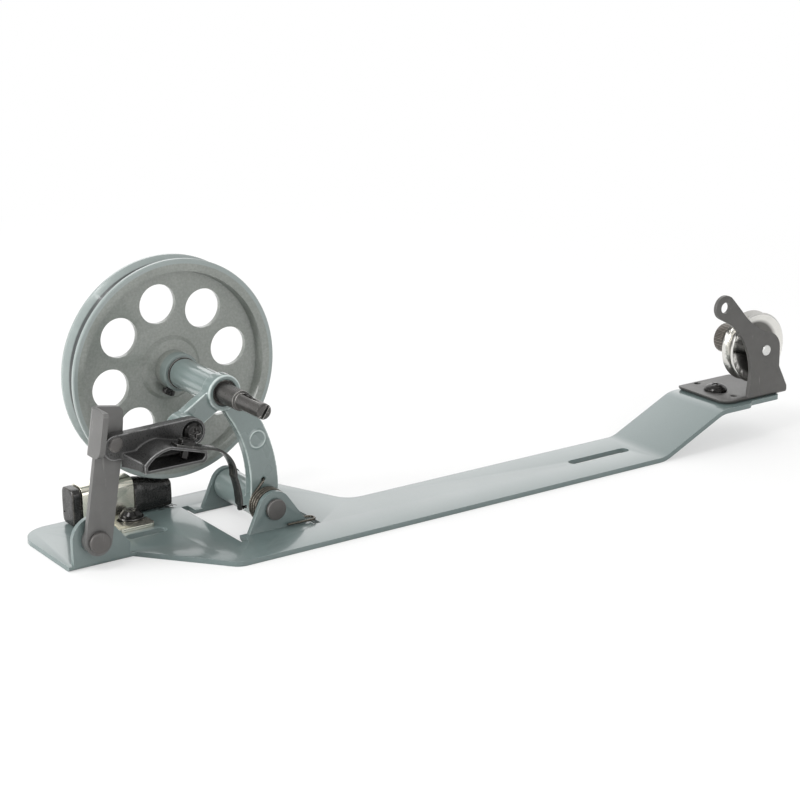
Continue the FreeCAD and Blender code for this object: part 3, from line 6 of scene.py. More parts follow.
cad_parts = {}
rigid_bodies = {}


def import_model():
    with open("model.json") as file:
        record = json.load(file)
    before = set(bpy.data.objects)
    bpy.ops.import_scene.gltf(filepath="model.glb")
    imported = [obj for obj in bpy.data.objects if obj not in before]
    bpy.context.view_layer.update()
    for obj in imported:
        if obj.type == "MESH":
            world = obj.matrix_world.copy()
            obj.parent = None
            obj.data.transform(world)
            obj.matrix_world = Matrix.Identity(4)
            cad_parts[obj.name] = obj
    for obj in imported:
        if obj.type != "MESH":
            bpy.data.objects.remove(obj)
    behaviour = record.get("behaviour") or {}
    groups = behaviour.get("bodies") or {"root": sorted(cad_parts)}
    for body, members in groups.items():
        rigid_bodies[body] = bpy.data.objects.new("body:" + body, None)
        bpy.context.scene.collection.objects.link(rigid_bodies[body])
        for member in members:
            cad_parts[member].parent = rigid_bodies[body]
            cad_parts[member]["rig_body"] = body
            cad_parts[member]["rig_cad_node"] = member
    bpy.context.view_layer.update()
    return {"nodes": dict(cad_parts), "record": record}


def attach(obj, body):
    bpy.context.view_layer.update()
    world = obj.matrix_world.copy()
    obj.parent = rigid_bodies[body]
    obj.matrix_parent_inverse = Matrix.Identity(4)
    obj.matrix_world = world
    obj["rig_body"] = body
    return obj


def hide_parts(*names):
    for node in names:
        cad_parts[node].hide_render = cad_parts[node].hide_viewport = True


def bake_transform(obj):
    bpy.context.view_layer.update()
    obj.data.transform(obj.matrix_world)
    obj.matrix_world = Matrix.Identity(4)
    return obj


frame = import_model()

bodyOf = {node: body for body, nodes in frame["record"]["behaviour"]["bodies"].items() for node in nodes}
mm = 0.001


# small tools shared by all pieces

def deselectAll():
    if bpy.context.object and bpy.context.object.mode != "OBJECT":
        bpy.ops.object.mode_set(mode="OBJECT")
    bpy.ops.object.select_all(action="DESELECT")


def pick(piece):
    deselectAll()
    piece.select_set(True)
    bpy.context.view_layer.objects.active = piece


def applyModifier(piece, kind, **settings):
    pick(piece)
    modifier = piece.modifiers.new(kind.title(), kind)
    for key, value in settings.items():
        setattr(modifier, key, value)
    bpy.ops.object.modifier_apply(modifier=modifier.name)


def applyPlace(piece):
    pick(piece)
    bpy.ops.object.transform_apply(location=True, rotation=True, scale=True)


def copyOfNode(node, name):
    # a merged copy of a CAD node, to be worked further
    source = frame["nodes"][node]
    pick(source)
    bpy.ops.object.duplicate()
    piece = bpy.context.object
    piece.name = name
    piece.data.name = name
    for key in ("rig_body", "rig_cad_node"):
        if key in piece:
            del piece[key]
    piece.parent = None
    piece.data.materials.clear()
    if piece.data.has_custom_normals:
        bpy.ops.mesh.customdata_custom_splitnormals_clear()
    bpy.ops.object.mode_set(mode="EDIT")
    bpy.ops.mesh.select_all(action="SELECT")
    bpy.ops.mesh.remove_doubles(threshold=0.002 * mm)
    bpy.ops.object.mode_set(mode="OBJECT")
    return piece


def flattenFaces(piece, angle=0.6):
    pick(piece)
    bpy.ops.object.mode_set(mode="EDIT")
    bpy.ops.mesh.select_all(action="SELECT")
    bpy.ops.mesh.dissolve_limited(angle_limit=math.radians(angle))
    bpy.ops.object.mode_set(mode="OBJECT")


def shadeByAngle(piece, angle=32):
    pick(piece)
    bpy.ops.object.shade_smooth_by_angle(angle=math.radians(angle))


def markWearAndHighlight(piece, low=17.0, high=26.0, flat=0.3):
    # how sharply the surface turns at each point, kept off points that a broad face touches; marks worn edges
    # that also get a painted highlight
    mesh = piece.data
    turn = [0.0] * len(mesh.vertices)
    broad = [False] * len(mesh.vertices)
    normals = [face.normal.copy() for face in mesh.polygons]
    seen = {}
    for face in mesh.polygons:
        corners = [mesh.vertices[index].co for index in face.vertices]
        longest = max((a - b).length for a, b in zip(corners, corners[1:] + corners[:1]))
        if face.area / max(longest, 1e-9) > flat * mm:
            for index in face.vertices:
                broad[index] = True
        for edgeKey in face.edge_keys:
            seen.setdefault(edgeKey, []).append(face.index)
    for (first, second), faces in seen.items():
        if len(faces) == 2:
            bend = math.degrees(normals[faces[0]].angle(normals[faces[1]], 0.0))
            turn[first] = max(turn[first], bend)
            turn[second] = max(turn[second], bend)
    storeWearAndHighlight(mesh, [0.0 if wide else min(1.0, max(0.0, (bend - low) / (high - low)))
                     for wide, bend in zip(broad, turn)])


def storeWearAndHighlight(mesh, values):
    attribute = mesh.attributes.get("wearAndHighlight") or mesh.attributes.new("wearAndHighlight", "FLOAT", "POINT")
    attribute.data.foreach_set("value", values)


def finishPiece(piece, material, body, nodes=()):
    piece.data.materials.clear()
    piece.data.materials.append(material)
    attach(piece, body)
    if nodes:
        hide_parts(*nodes)
    return piece


# materials

def newMaterial(name):
    material = bpy.data.materials.new(name)
    material.use_nodes = True
    tree = material.node_tree
    shader = tree.nodes["Principled BSDF"]
    place = tree.nodes.new("ShaderNodeTexCoord")
    return material, tree, shader, place.outputs["Object"]


def noise(tree, place, scale, detail=3.0, roughness=0.5, distortion=0.0, stretch=None):
    if stretch:
        mapping = tree.nodes.new("ShaderNodeMapping")
        mapping.inputs["Scale"].default_value = stretch
        tree.links.new(place, mapping.inputs["Vector"])
        place = mapping.outputs["Vector"]
    node = tree.nodes.new("ShaderNodeTexNoise")
    node.inputs["Scale"].default_value = scale
    node.inputs["Detail"].default_value = detail
    node.inputs["Roughness"].default_value = roughness
    node.inputs["Distortion"].default_value = distortion
    tree.links.new(place, node.inputs["Vector"])
    return node.outputs["Fac"]


def ramp(tree, value, low, high, lowColor, highColor):
    node = tree.nodes.new("ShaderNodeValToRGB")
    node.color_ramp.elements[0].position = low
    node.color_ramp.elements[1].position = high
    node.color_ramp.elements[0].color = (*lowColor, 1.0)
    node.color_ramp.elements[1].color = (*highColor, 1.0)
    tree.links.new(value, node.inputs["Fac"])
    return node.outputs["Color"]


def remap(tree, value, low, high, outLow, outHigh):
    node = tree.nodes.new("ShaderNodeMapRange")
    node.inputs["From Min"].default_value = low
    node.inputs["From Max"].default_value = high
    node.inputs["To Min"].default_value = outLow
    node.inputs["To Max"].default_value = outHigh
    tree.links.new(value, node.inputs["Value"])
    return node.outputs["Result"]


def mixColor(tree, factor, first, second, mode="MIX"):
    node = tree.nodes.new("ShaderNodeMix")
    node.data_type = "RGBA"
    node.blend_type = mode
    for socket, value in ((node.inputs[0], factor), (node.inputs[6], first), (node.inputs[7], second)):
        if hasattr(value, "node"):
            tree.links.new(value, socket)
        elif isinstance(value, (tuple, list)):
            socket.default_value = (*value, 1.0)
        else:
            socket.default_value = value
    return node.outputs[2]


def math2(tree, operation, first, second):
    node = tree.nodes.new("ShaderNodeMath")
    node.operation = operation
    for socket, value in zip(node.inputs, (first, second)):
        if hasattr(value, "node"):
            tree.links.new(value, socket)
        else:
            socket.default_value = value
    return node.outputs[0]


def bump(tree, shader, height, strength, distance, after=None):
    node = tree.nodes.new("ShaderNodeBump")
    node.inputs["Strength"].default_value = strength
    node.inputs["Distance"].default_value = distance
    tree.links.new(height, node.inputs["Height"])
    if after:
        tree.links.new(after, node.inputs["Normal"])
    tree.links.new(node.outputs["Normal"], shader.inputs["Normal"])
    return node.outputs["Normal"]


def wearAndHighlightMask(tree, place, scale, cut):
    # edges that are partly worn and partly given a painted highlight, broken up by noise
    attribute = tree.nodes.new("ShaderNodeAttribute")
    attribute.attribute_name = "wearAndHighlight"
    patches = noise(tree, place, scale, 4.0, 0.6)
    broken = remap(tree, patches, cut - 0.08, cut + 0.08, 0.0, 1.0)
    return math2(tree, "MULTIPLY", attribute.outputs["Fac"], broken)


def radiusFrom(tree, place, axis):
    # distance of a point from a level axis that runs along Y through (x, z)
    offset = tree.nodes.new("ShaderNodeVectorMath")
    offset.operation = "SUBTRACT"
    offset.inputs[1].default_value = (axis[0] * mm, 0.0, axis[1] * mm)
    tree.links.new(place, offset.inputs[0])
    flat = tree.nodes.new("ShaderNodeVectorMath")
    flat.operation = "MULTIPLY"
    flat.inputs[1].default_value = (1.0, 0.0, 1.0)
    tree.links.new(offset.outputs[0], flat.inputs[0])
    length = tree.nodes.new("ShaderNodeVectorMath")
    length.operation = "LENGTH"
    tree.links.new(flat.outputs[0], length.inputs[0])
    return length.outputs["Value"]


def between(tree, value, low, high, soft):
    # one inside a band of values and nothing outside it
    enter = remap(tree, value, low * mm, (low + soft) * mm, 0.0, 1.0)
    leave = remap(tree, value, (high - soft) * mm, high * mm, 1.0, 0.0)
    return math2(tree, "MULTIPLY", enter, leave)


def enamel(name, look):
    material, tree, shader, place = newMaterial(name)
    patches = noise(tree, place, look["patchScale"], 3.0, 0.55)
    color = ramp(tree, patches, 0.3, 0.72, look["dark"], look["light"])
    grain = noise(tree, place, look["grainScale"], 3.0, 0.6)
    fleck = remap(tree, grain, 0.3, 0.7, 1.0 - look["fleck"], 1.0 + look["fleck"])
    color = mixColor(tree, 1.0, color, fleck, "MULTIPLY")
    dust = noise(tree, place, look["dustScale"], 4.0, 0.7)
    specks = remap(tree, dust, 0.66, 0.74, 0.0, look["dust"])
    color = mixColor(tree, specks, color, look["dustColor"])
    # worn edges, lightened also as a painted highlight
    wornAndHighlighted = wearAndHighlightMask(tree, place, look["wearAndHighlightScale"], look["wearAndHighlightCut"])
    color = mixColor(tree, wornAndHighlighted, color, look["wearAndHighlightColor"])
    # bands round an axis: on the wheel, painted shade in the groove, a painted reflection on the rim and
    # bluer paint on the hub
    for band in look.get("bands", []):
        split = tree.nodes.new("ShaderNodeSeparateXYZ")
        tree.links.new(place, split.inputs[0])
        radius = radiusFrom(tree, place, band["axis"])
        depth = between(tree, radius, *band["radius"], band["soft"])
        width = between(tree, split.outputs["Y"], *band["width"], band["soft"])
        share = math2(tree, "MULTIPLY", math2(tree, "MULTIPLY", depth, width), band["strength"])
        color = mixColor(tree, share, color, band["color"])
    tree.links.new(color, shader.inputs["Base Color"])
    rough = remap(tree, patches, 0.3, 0.7, look["roughLow"], look["roughHigh"])
    tree.links.new(rough, shader.inputs["Roughness"])
    shader.inputs["Coat Weight"].default_value = look["coat"]
    shader.inputs["Coat Roughness"].default_value = look["coatRough"]
    shader.inputs["IOR"].default_value = 1.5
    wave = noise(tree, place, look["peelScale"], 2.0, 0.4)
    first = bump(tree, shader, wave, look["peel"], 0.1 * mm)
    bump(tree, shader, grain, look["grain"], 0.04 * mm, first)
    return material


def metal(name, look):
    material, tree, shader, place = newMaterial(name)
    patches = noise(tree, place, look["patchScale"], 4.0, 0.6)
    color = ramp(tree, patches, 0.3, 0.7, look["dark"], look["light"])
    scratches = noise(tree, place, look["scratchScale"], 3.0, 0.6, 0.0, look["scratchStretch"])
    scored = remap(tree, scratches, 0.67, 0.72, 0.0, look["scratch"])
    color = mixColor(tree, scored, color, look["wearAndHighlightColor"])
    # worn edges, lightened also as a painted highlight
    wornAndHighlighted = wearAndHighlightMask(tree, place, look["wearAndHighlightScale"], look["wearAndHighlightCut"])
    color = mixColor(tree, wornAndHighlighted, color, look["wearAndHighlightColor"])
    # painted shade: darker inside a radius round an axis
    if "paintedShade" in look:
        shadeLook = look["paintedShade"]
        radius = radiusFrom(tree, place, shadeLook["axis"])
        inside = remap(tree, radius, shadeLook["from"] * mm, shadeLook["to"] * mm, shadeLook["strength"], 0.0)
        color = mixColor(tree, inside, color, shadeLook["color"])
    tree.links.new(color, shader.inputs["Base Color"])
    shader.inputs["Metallic"].default_value = look["metallic"]
    brushed = noise(tree, place, look["brushScale"], 3.0, 0.6, 0.0, look["brushStretch"])
    rough = remap(tree, brushed, 0.25, 0.75, look["roughLow"], look["roughHigh"])
    tree.links.new(rough, shader.inputs["Roughness"])
    bump(tree, shader, brushed, look["brush"], 0.02 * mm)
    return material


def leatherMaterial(name, look):
    material, tree, shader, place = newMaterial(name)
    patches = noise(tree, place, look["patchScale"], 4.0, 0.6)
    color = ramp(tree, patches, 0.3, 0.72, look["dark"], look["light"])
    # worn edges, lightened also as a painted highlight
    wornAndHighlighted = wearAndHighlightMask(tree, place, look["wearAndHighlightScale"], 0.45)
    color = mixColor(tree, wornAndHighlighted, color, look["wearAndHighlightColor"])
    tree.links.new(color, shader.inputs["Base Color"])
    cells = tree.nodes.new("ShaderNodeTexVoronoi")
    cells.inputs["Scale"].default_value = look["grainScale"]
    tree.links.new(place, cells.inputs["Vector"])
    first = bump(tree, shader, cells.outputs["Distance"], look["grain"], 0.12 * mm)
    fuzz = noise(tree, place, look["fuzzScale"], 5.0, 0.7)
    bump(tree, shader, fuzz, look["fuzz"], 0.1 * mm, first)
    rough = remap(tree, fuzz, 0.3, 0.7, look["roughLow"], look["roughHigh"])
    tree.links.new(rough, shader.inputs["Roughness"])
    return material


baseEnamelLook = {
    "dark": (0.108, 0.146, 0.143), "light": (0.126, 0.164, 0.160), "patchScale": 30.0,
    "grainScale": 2200.0, "grain": 0.15, "fleck": 0.05, "peelScale": 260.0, "peel": 0.12,
    "dustScale": 900.0, "dust": 0.2, "dustColor": (0.34, 0.37, 0.36),
    "wearAndHighlightScale": 260.0, "wearAndHighlightCut": 0.38, "wearAndHighlightColor": (0.50, 0.57, 0.55),
    "roughLow": 0.28, "roughHigh": 0.36, "coat": 0.55, "coatRough": 0.10,
}
wheelEnamelLook = dict(
    baseEnamelLook, dark=(0.190, 0.206, 0.188), light=(0.225, 0.240, 0.220), grain=0.8, grainScale=1100.0,
    fleck=0.14, peelScale=420.0, peel=0.6, roughLow=0.3, roughHigh=0.42, coat=0.7, coatRough=0.16,
    wearAndHighlightColor=(0.36, 0.40, 0.39), dust=0.3, wearAndHighlightCut=0.5,
    bands=[
        # painted shade in the groove: its bottom is darkened where the front rim shades it
        {"axis": (-16.1, 57.0), "radius": (39.8, 41.9), "width": (45.0, 54.4), "soft": 0.5,
         "strength": 0.9, "color": (0.028, 0.034, 0.036)},
        # painted reflection: the rim is lighter and bluer, as where it reflects the light from the left
        {"axis": (-16.1, 57.0), "radius": (41.4, 46.0), "width": (40.0, 60.0), "soft": 0.3,
         "strength": 0.75, "color": (0.26, 0.305, 0.30)},
        # bluer paint on the hub in front of the web
        {"axis": (-16.1, 57.0), "radius": (-2.0, 14.0), "width": (10.0, 43.8), "soft": 0.3,
         "strength": 0.85, "color": (0.15, 0.19, 0.184)},
    ])
castEnamelLook = dict(
    baseEnamelLook, dark=(0.136, 0.176, 0.170), light=(0.160, 0.202, 0.196), grain=0.25, peelScale=300.0,
    peel=0.2, roughLow=0.24, roughHigh=0.32, coat=0.9, coatRough=0.055)
darkSteelLook = {
    "dark": (0.112, 0.111, 0.108), "light": (0.128, 0.127, 0.124), "patchScale": 160.0,
    "scratchScale": 500.0, "scratchStretch": (1.0, 1.0, 0.12), "scratch": 0.12,
    "wearAndHighlightScale": 320.0, "wearAndHighlightCut": 0.4, "wearAndHighlightColor": (0.50, 0.49, 0.48), "metallic": 0.4,
    "brushScale": 2600.0, "brushStretch": (1.0, 1.0, 0.5), "brush": 0.3, "roughLow": 0.34, "roughHigh": 0.42,
}
linkLook = dict(darkSteelLook, dark=(0.034, 0.034, 0.034), light=(0.046, 0.046, 0.045), metallic=0.3,
                roughLow=0.24, roughHigh=0.34, wearAndHighlightColor=(0.24, 0.24, 0.24), scratch=0.06)
fingerLook = dict(darkSteelLook, dark=(0.035, 0.035, 0.034), light=(0.050, 0.050, 0.048), metallic=0.7,
                  roughLow=0.18, roughHigh=0.28, wearAndHighlightColor=(0.35, 0.34, 0.33), scratch=0.15)
springLook = dict(darkSteelLook, dark=(0.085, 0.078, 0.066), light=(0.13, 0.12, 0.10), metallic=0.9,
                  roughLow=0.2, roughHigh=0.3, scratch=0.3, wearAndHighlightColor=(0.4, 0.36, 0.3))
bracketLook = dict(darkSteelLook, dark=(0.090, 0.088, 0.085), light=(0.106, 0.104, 0.100), metallic=0.45,
                   roughLow=0.34, roughHigh=0.44)
blackSteelLook = dict(darkSteelLook, dark=(0.012, 0.0115, 0.011), light=(0.022, 0.021, 0.020), metallic=0.5,
                      roughLow=0.12, roughHigh=0.22, wearAndHighlightColor=(0.30, 0.29, 0.28), scratch=0.05)
pinLook = dict(darkSteelLook, dark=(0.080, 0.076, 0.073), light=(0.098, 0.093, 0.089), metallic=0.3,
               roughLow=0.4, roughHigh=0.5, wearAndHighlightColor=(0.28, 0.27, 0.26))
spindleLook = dict(darkSteelLook, dark=(0.062, 0.060, 0.057), light=(0.085, 0.082, 0.078), metallic=0.6,
                   roughLow=0.24, roughHigh=0.36, wearAndHighlightColor=(0.72, 0.70, 0.67), scratch=0.25,
                   scratchStretch=(1.0, 0.1, 1.0))
nutLook = dict(darkSteelLook, dark=(0.05, 0.045, 0.04), light=(0.075, 0.068, 0.06), metallic=0.7,
               roughLow=0.3, roughHigh=0.4, wearAndHighlightColor=(0.3, 0.27, 0.24))
brightSteelLook = dict(darkSteelLook, dark=(0.62, 0.62, 0.61), light=(0.70, 0.70, 0.69), metallic=1.0,
                       roughLow=0.2, roughHigh=0.3, wearAndHighlightColor=(0.85, 0.85, 0.84))
zincLook = dict(darkSteelLook, dark=(0.70, 0.68, 0.58), light=(0.78, 0.76, 0.67), metallic=0.95,
                roughLow=0.16, roughHigh=0.26, wearAndHighlightColor=(0.9, 0.88, 0.8), scratch=0.15,
                scratchStretch=(0.12, 1.0, 1.0), brushScale=1400.0, brushStretch=(0.15, 1.0, 1.0))
chromeLook = dict(darkSteelLook, dark=(0.68, 0.67, 0.64), light=(0.76, 0.75, 0.72), metallic=1.0,
                  roughLow=0.16, roughHigh=0.24, brush=0.1, wearAndHighlightColor=(0.8, 0.79, 0.77),
                  # painted shade: the inside of the discs' dish is darkened, as where the upright shades it
                  paintedShade={"axis": (233.2, 37.2), "from": 10.6, "to": 12.2, "strength": 0.9,
                           "color": (0.07, 0.068, 0.064)})
bushLook = dict(darkSteelLook, dark=(0.035, 0.033, 0.03), light=(0.055, 0.052, 0.047), metallic=0.7,
                roughLow=0.3, roughHigh=0.45)
leatherLook = {
    "dark": (0.005, 0.0048, 0.0045), "light": (0.012, 0.0115, 0.011), "patchScale": 240.0, "wearAndHighlightScale": 500.0,
    "wearAndHighlightColor": (0.06, 0.056, 0.05), "grainScale": 900.0, "grain": 0.3, "fuzzScale": 1500.0, "fuzz": 0.2,
    "roughLow": 0.14, "roughHigh": 0.36,
}

baseEnamel = enamel("greyEnamel", baseEnamelLook)
wheelEnamel = enamel("wheelEnamel", wheelEnamelLook)
castEnamel = enamel("castEnamel", castEnamelLook)
darkSteel = metal("darkSteel", darkSteelLook)
linkFinish = metal("linkFinish", linkLook)
fingerFinish = metal("fingerFinish", fingerLook)
springFinish = metal("springFinish", springLook)
bracketFinish = metal("bracketFinish", bracketLook)
blackSteel = metal("blackSteel", blackSteelLook)
pinSteel = metal("pinSteel", pinLook)
nutFinish = metal("nutFinish", nutLook)
spindleSteel = metal("spindleSteel", spindleLook)
brightSteel = metal("brightSteel", brightSteelLook)
zincPlate = metal("zincPlate", zincLook)
polishedPlate = metal("polishedPlate", chromeLook)
bushMetal = metal("bushMetal", bushLook)
brakeLeather = leatherMaterial("brakeLeather", leatherLook)
print("materials ready")


# camera, floor and lights

cameraLook = {"azimuth": -34.0007, "elevation": 17.1506, "roll": -0.6641, "lens": 96.928,
              "sensor": 36.0, "near": 0.05, "far": 20.0,
              "place": (-388.7 * mm, -661.5 * mm, 288.8 * mm)}


def addCamera(look):
    around = math.radians(look["azimuth"])
    up = math.radians(look["elevation"])
    tilt = math.radians(look["roll"])
    level = Vector((math.cos(around), math.sin(around), 0.0))
    back = Vector((math.sin(around) * math.cos(up), -math.cos(around) * math.cos(up), math.sin(up)))
    upright = back.cross(level)
    right = level * math.cos(tilt) + upright * math.sin(tilt)
    top = upright * math.cos(tilt) - level * math.sin(tilt)
    turn = Matrix((right, top, back)).transposed().to_4x4()
    data = bpy.data.cameras.new("camera")
    data.lens = look["lens"]
    data.sensor_width = look["sensor"]
    data.clip_start = look["near"]
    data.clip_end = look["far"]
    camera = bpy.data.objects.new("camera", data)
    camera.matrix_world = Matrix.Translation(Vector(look["place"])) @ turn
    bpy.context.scene.collection.objects.link(camera)
    bpy.context.scene.camera = camera


floorLook = {
    "size": 8.0, "middle": (0.08, 0.0, -0.02 * mm),
    "color": (0.80, 0.80, 0.795), "paler": (0.83, 0.83, 0.825),
    "patchScale": 0.8, "roughness": 0.9, "shine": 0.1, "glowFrom": 0.18, "glowTo": 0.6, "glowLeast": 0.5,
}


def addFloor(look):
    # near the object the floor takes shadows; further out it fades to plain white
    deselectAll()
    bpy.ops.mesh.primitive_plane_add(size=look["size"], location=look["middle"])
    floor = bpy.context.object
    floor.name = "floor"
    applyPlace(floor)
    material, tree, shader, place = newMaterial("floorWhite")
    color = ramp(tree, noise(tree, place, look["patchScale"], 2.0), 0.3, 0.7, look["color"], look["paler"])
    tree.links.new(color, shader.inputs["Base Color"])
    shader.inputs["Roughness"].default_value = look["roughness"]
    shader.inputs["Specular IOR Level"].default_value = look["shine"]
    length = tree.nodes.new("ShaderNodeVectorMath")
    length.operation = "LENGTH"
    tree.links.new(place, length.inputs[0])
    far = remap(tree, length.outputs["Value"], look["glowFrom"], look["glowTo"],
                look["glowLeast"], 1.0)
    rays = tree.nodes.new("ShaderNodeLightPath")
    seen = math2(tree, "MULTIPLY", far, rays.outputs["Is Camera Ray"])
    glow = tree.nodes.new("ShaderNodeEmission")
    blend = tree.nodes.new("ShaderNodeMixShader")
    tree.links.new(seen, blend.inputs[0])
    tree.links.new(shader.outputs[0], blend.inputs[1])
    tree.links.new(glow.outputs[0], blend.inputs[2])
    tree.links.new(blend.outputs[0], tree.nodes["Material Output"].inputs["Surface"])
    floor.data.materials.append(material)


lightLook = {
    "behind": (0.5, 0.8, 0.33), "darkSide": 0.5, "brightSide": 0.9,
    "lamps": [
        {"name": "key", "place": (-0.7, -0.1, 1.3), "aim": (0.0, 0.0, 0.0), "size": 0.4, "power": 5.0},
        {"name": "left", "place": (-1.2, 0.35, 0.5), "aim": (0.0, 0.0, 0.05), "size": 0.8, "power": 16.0},
        {"name": "front", "place": (0.1, -1.5, 0.45), "aim": (0.0, 0.0, 0.03), "size": 1.2, "power": 9.0},
        {"name": "rim", "place": (0.6, 1.2, 0.9), "aim": (0.1, 0.0, 0.03), "size": 1.4, "power": 6.0},
    ],
}


def addLights(look):
    world = bpy.data.worlds.new("studio")
    bpy.context.scene.world = world
    world.use_nodes = True
    tree = world.node_tree
    ground = tree.nodes["Background"]
    ground.inputs["Color"].default_value = (1.0, 1.0, 1.0, 1.0)
    rays = tree.nodes.new("ShaderNodeLightPath")
    place = tree.nodes.new("ShaderNodeTexCoord")
    facing = tree.nodes.new("ShaderNodeVectorMath")
    facing.operation = "DOT_PRODUCT"
    facing.inputs[1].default_value = Vector(look["behind"]).normalized()
    tree.links.new(place.outputs["Generated"], facing.inputs[0])
    shade = remap(tree, facing.outputs["Value"], -0.9, 0.95, look["darkSide"], look["brightSide"])
    strength = tree.nodes.new("ShaderNodeMix")
    strength.inputs[3].default_value = 1.0
    tree.links.new(rays.outputs["Is Camera Ray"], strength.inputs[0])
    tree.links.new(shade, strength.inputs[2])
    tree.links.new(strength.outputs[0], ground.inputs["Strength"])
    for lamp in look["lamps"]:
        data = bpy.data.lights.new(lamp["name"], "AREA")
        data.shape = "SQUARE"
        data.size = lamp["size"]
        data.energy = lamp["power"]
        light = bpy.data.objects.new(lamp["name"], data)
        aim = Vector(lamp["aim"]) - Vector(lamp["place"])
        turn = aim.to_track_quat("-Z", "Y").to_matrix().to_4x4()
        light.matrix_world = Matrix.Translation(Vector(lamp["place"])) @ turn
        bpy.context.scene.collection.objects.link(light)


addCamera(cameraLook)
addFloor(floorLook)
addLights(lightLook)
bpy.context.scene.view_settings.view_transform = "Standard"
print("camera, floor and lights ready")


# pressed, turned and cut pieces: merged copies of their solids with eased edges

easedEdges = {
    # node: edge width, steps, finish, least bend that counts as a worn edge with a painted highlight
    "base_plate": (0.5, 5, baseEnamel, 9),
    "latch_lever": (0.6, 5, darkSteel, 9),
    "tension_bracket": (0.4, 5, bracketFinish, 9),
    "brake_bracket": (0.22, 3, zincPlate, 15),
    "hinge_pin": (0.35, 4, pinSteel, 12),
    "lever_pivot_pin": (0.35, 4, pinSteel, 12),
    "lever_spacer": (0.15, 2, darkSteel, 17),
    "elbow_rivet_head": (0.35, 4, pinSteel, 12),
    "elbow_rivet_tail": (0.2, 2, pinSteel, 17),
    "finger_screw": (0.22, 3, blackSteel, 15),
    "link_pivot_screw": (0.22, 3, blackSteel, 15),
    "brake_screw": (0.22, 3, blackSteel, 15),
    "bracket_screw": (0.22, 3, blackSteel, 15),
    "wheel_set_screw": (0.18, 3, blackSteel, 15),
    "tension_nut": (0.1, 2, nutFinish, 17),
    "spindle": (0.2, 3, spindleSteel, 15),
    "hinge_pin_clip": (0.1, 2, blackSteel, 17),
    "thrust_washer": (0.1, 2, bushMetal, 17),
    "brake_washer": (0.15, 2, blackSteel, 17),
    "tension_post": (0.1, 2, brightSteel, 17),
    "tension_disc_front": (0.15, 2, polishedPlate, 17),
    "tension_disc_rear": (0.15, 2, polishedPlate, 17),
    "spindle_bush_front": (0.1, 2, bushMetal, 17),
    "spindle_bush_rear": (0.1, 2, bushMetal, 17),
}


def easedPiece(node, width, segments, material, rubbedAndHighlighted):
    piece = copyOfNode(node, node + "_eased")
    flattenFaces(piece)
    applyModifier(piece, "BEVEL", width=width * mm, segments=segments, limit_method="ANGLE",
                  angle_limit=math.radians(34), use_clamp_overlap=True, harden_normals=False,
                  miter_outer="MITER_ARC")
    shadeByAngle(piece)
    markWearAndHighlight(piece, rubbedAndHighlighted, rubbedAndHighlighted + 4.0)
    return finishPiece(piece, material, bodyOf[node], [node])


for node, settings in easedEdges.items():
    easedPiece(node, *settings)
print("eased pieces ready:", len(easedEdges))


def roundChosenEdges(piece, chosen, width, segments):
    # bevels the edges whose two ends both satisfy the test
    pick(piece)
    bpy.ops.object.mode_set(mode="EDIT")
    bpy.ops.mesh.select_mode(type="EDGE")
    bpy.ops.mesh.select_all(action="DESELECT")
    bpy.ops.object.mode_set(mode="OBJECT")
    for edge in piece.data.edges:
        edge.select = all(chosen(piece.data.vertices[index].co / mm) for index in edge.vertices)
    bpy.ops.object.mode_set(mode="EDIT")
    bpy.ops.mesh.bevel(offset=width * mm, segments=segments, profile=0.5, affect="EDGES")
    bpy.ops.mesh.select_mode(type="VERT")
    bpy.ops.object.mode_set(mode="OBJECT")


# belt wheel: the rim's front face is drawn over to the tread in a full round

wheelLook = {
    "axis": (-16.1, 57.0), "radius": 43.4, "front": 44.3, "back": 55.2, "rimRound": 1.5, "rimSteps": 5,
    "edge": 0.35, "edgeSteps": 3,
}


def addWheel(look):
    piece = copyOfNode("winding_wheel", "winding_wheel_enamelled")
    flattenFaces(piece)

    def onRim(spot):
        far = math.hypot(spot.x - look["axis"][0], spot.z - look["axis"][1])
        return abs(far - look["radius"]) < 0.1 and min(abs(spot.y - look["front"]),
                                                       abs(spot.y - look["back"])) < 0.05

    roundChosenEdges(piece, onRim, look["rimRound"], look["rimSteps"])
    applyModifier(piece, "BEVEL", width=look["edge"] * mm, segments=look["edgeSteps"], limit_method="ANGLE",
                  angle_limit=math.radians(34), use_clamp_overlap=True, miter_outer="MITER_ARC")
    shadeByAngle(piece)
    markWearAndHighlight(piece, 15.0, 19.0)
    finishPiece(piece, wheelEnamel, "wheel", ["winding_wheel"])


addWheel(wheelLook)
print("belt wheel ready")


# full-bobbin finger: flat strip with a round end

fingerShape = {"tipRound": 2.2, "tipSteps": 6, "tipHeight": 1.2, "edge": 0.12}


def addFinger(look):
    piece = copyOfNode("fill_finger", "fill_finger_strip")
    flattenFaces(piece)
    low = min(vertex.co.z for vertex in piece.data.vertices) / mm
    near = min(vertex.co.y for vertex in piece.data.vertices) / mm
    far = max(vertex.co.y for vertex in piece.data.vertices) / mm
    for side in (near, far):
        roundChosenEdges(piece, lambda spot: spot.z < low + look["tipHeight"] and abs(spot.y - side) < 0.05,
                         look["tipRound"], look["tipSteps"])
    applyModifier(piece, "BEVEL", width=look["edge"] * mm, segments=2, limit_method="ANGLE",
                  angle_limit=math.radians(50), use_clamp_overlap=True)
    shadeByAngle(piece)
    markWearAndHighlight(piece)
    finishPiece(piece, fingerFinish, bodyOf["fill_finger"], ["fill_finger"])


addFinger(fingerShape)
print("finger ready")


# castings: a fine skin over the solid, with soft corners as from a sand mould

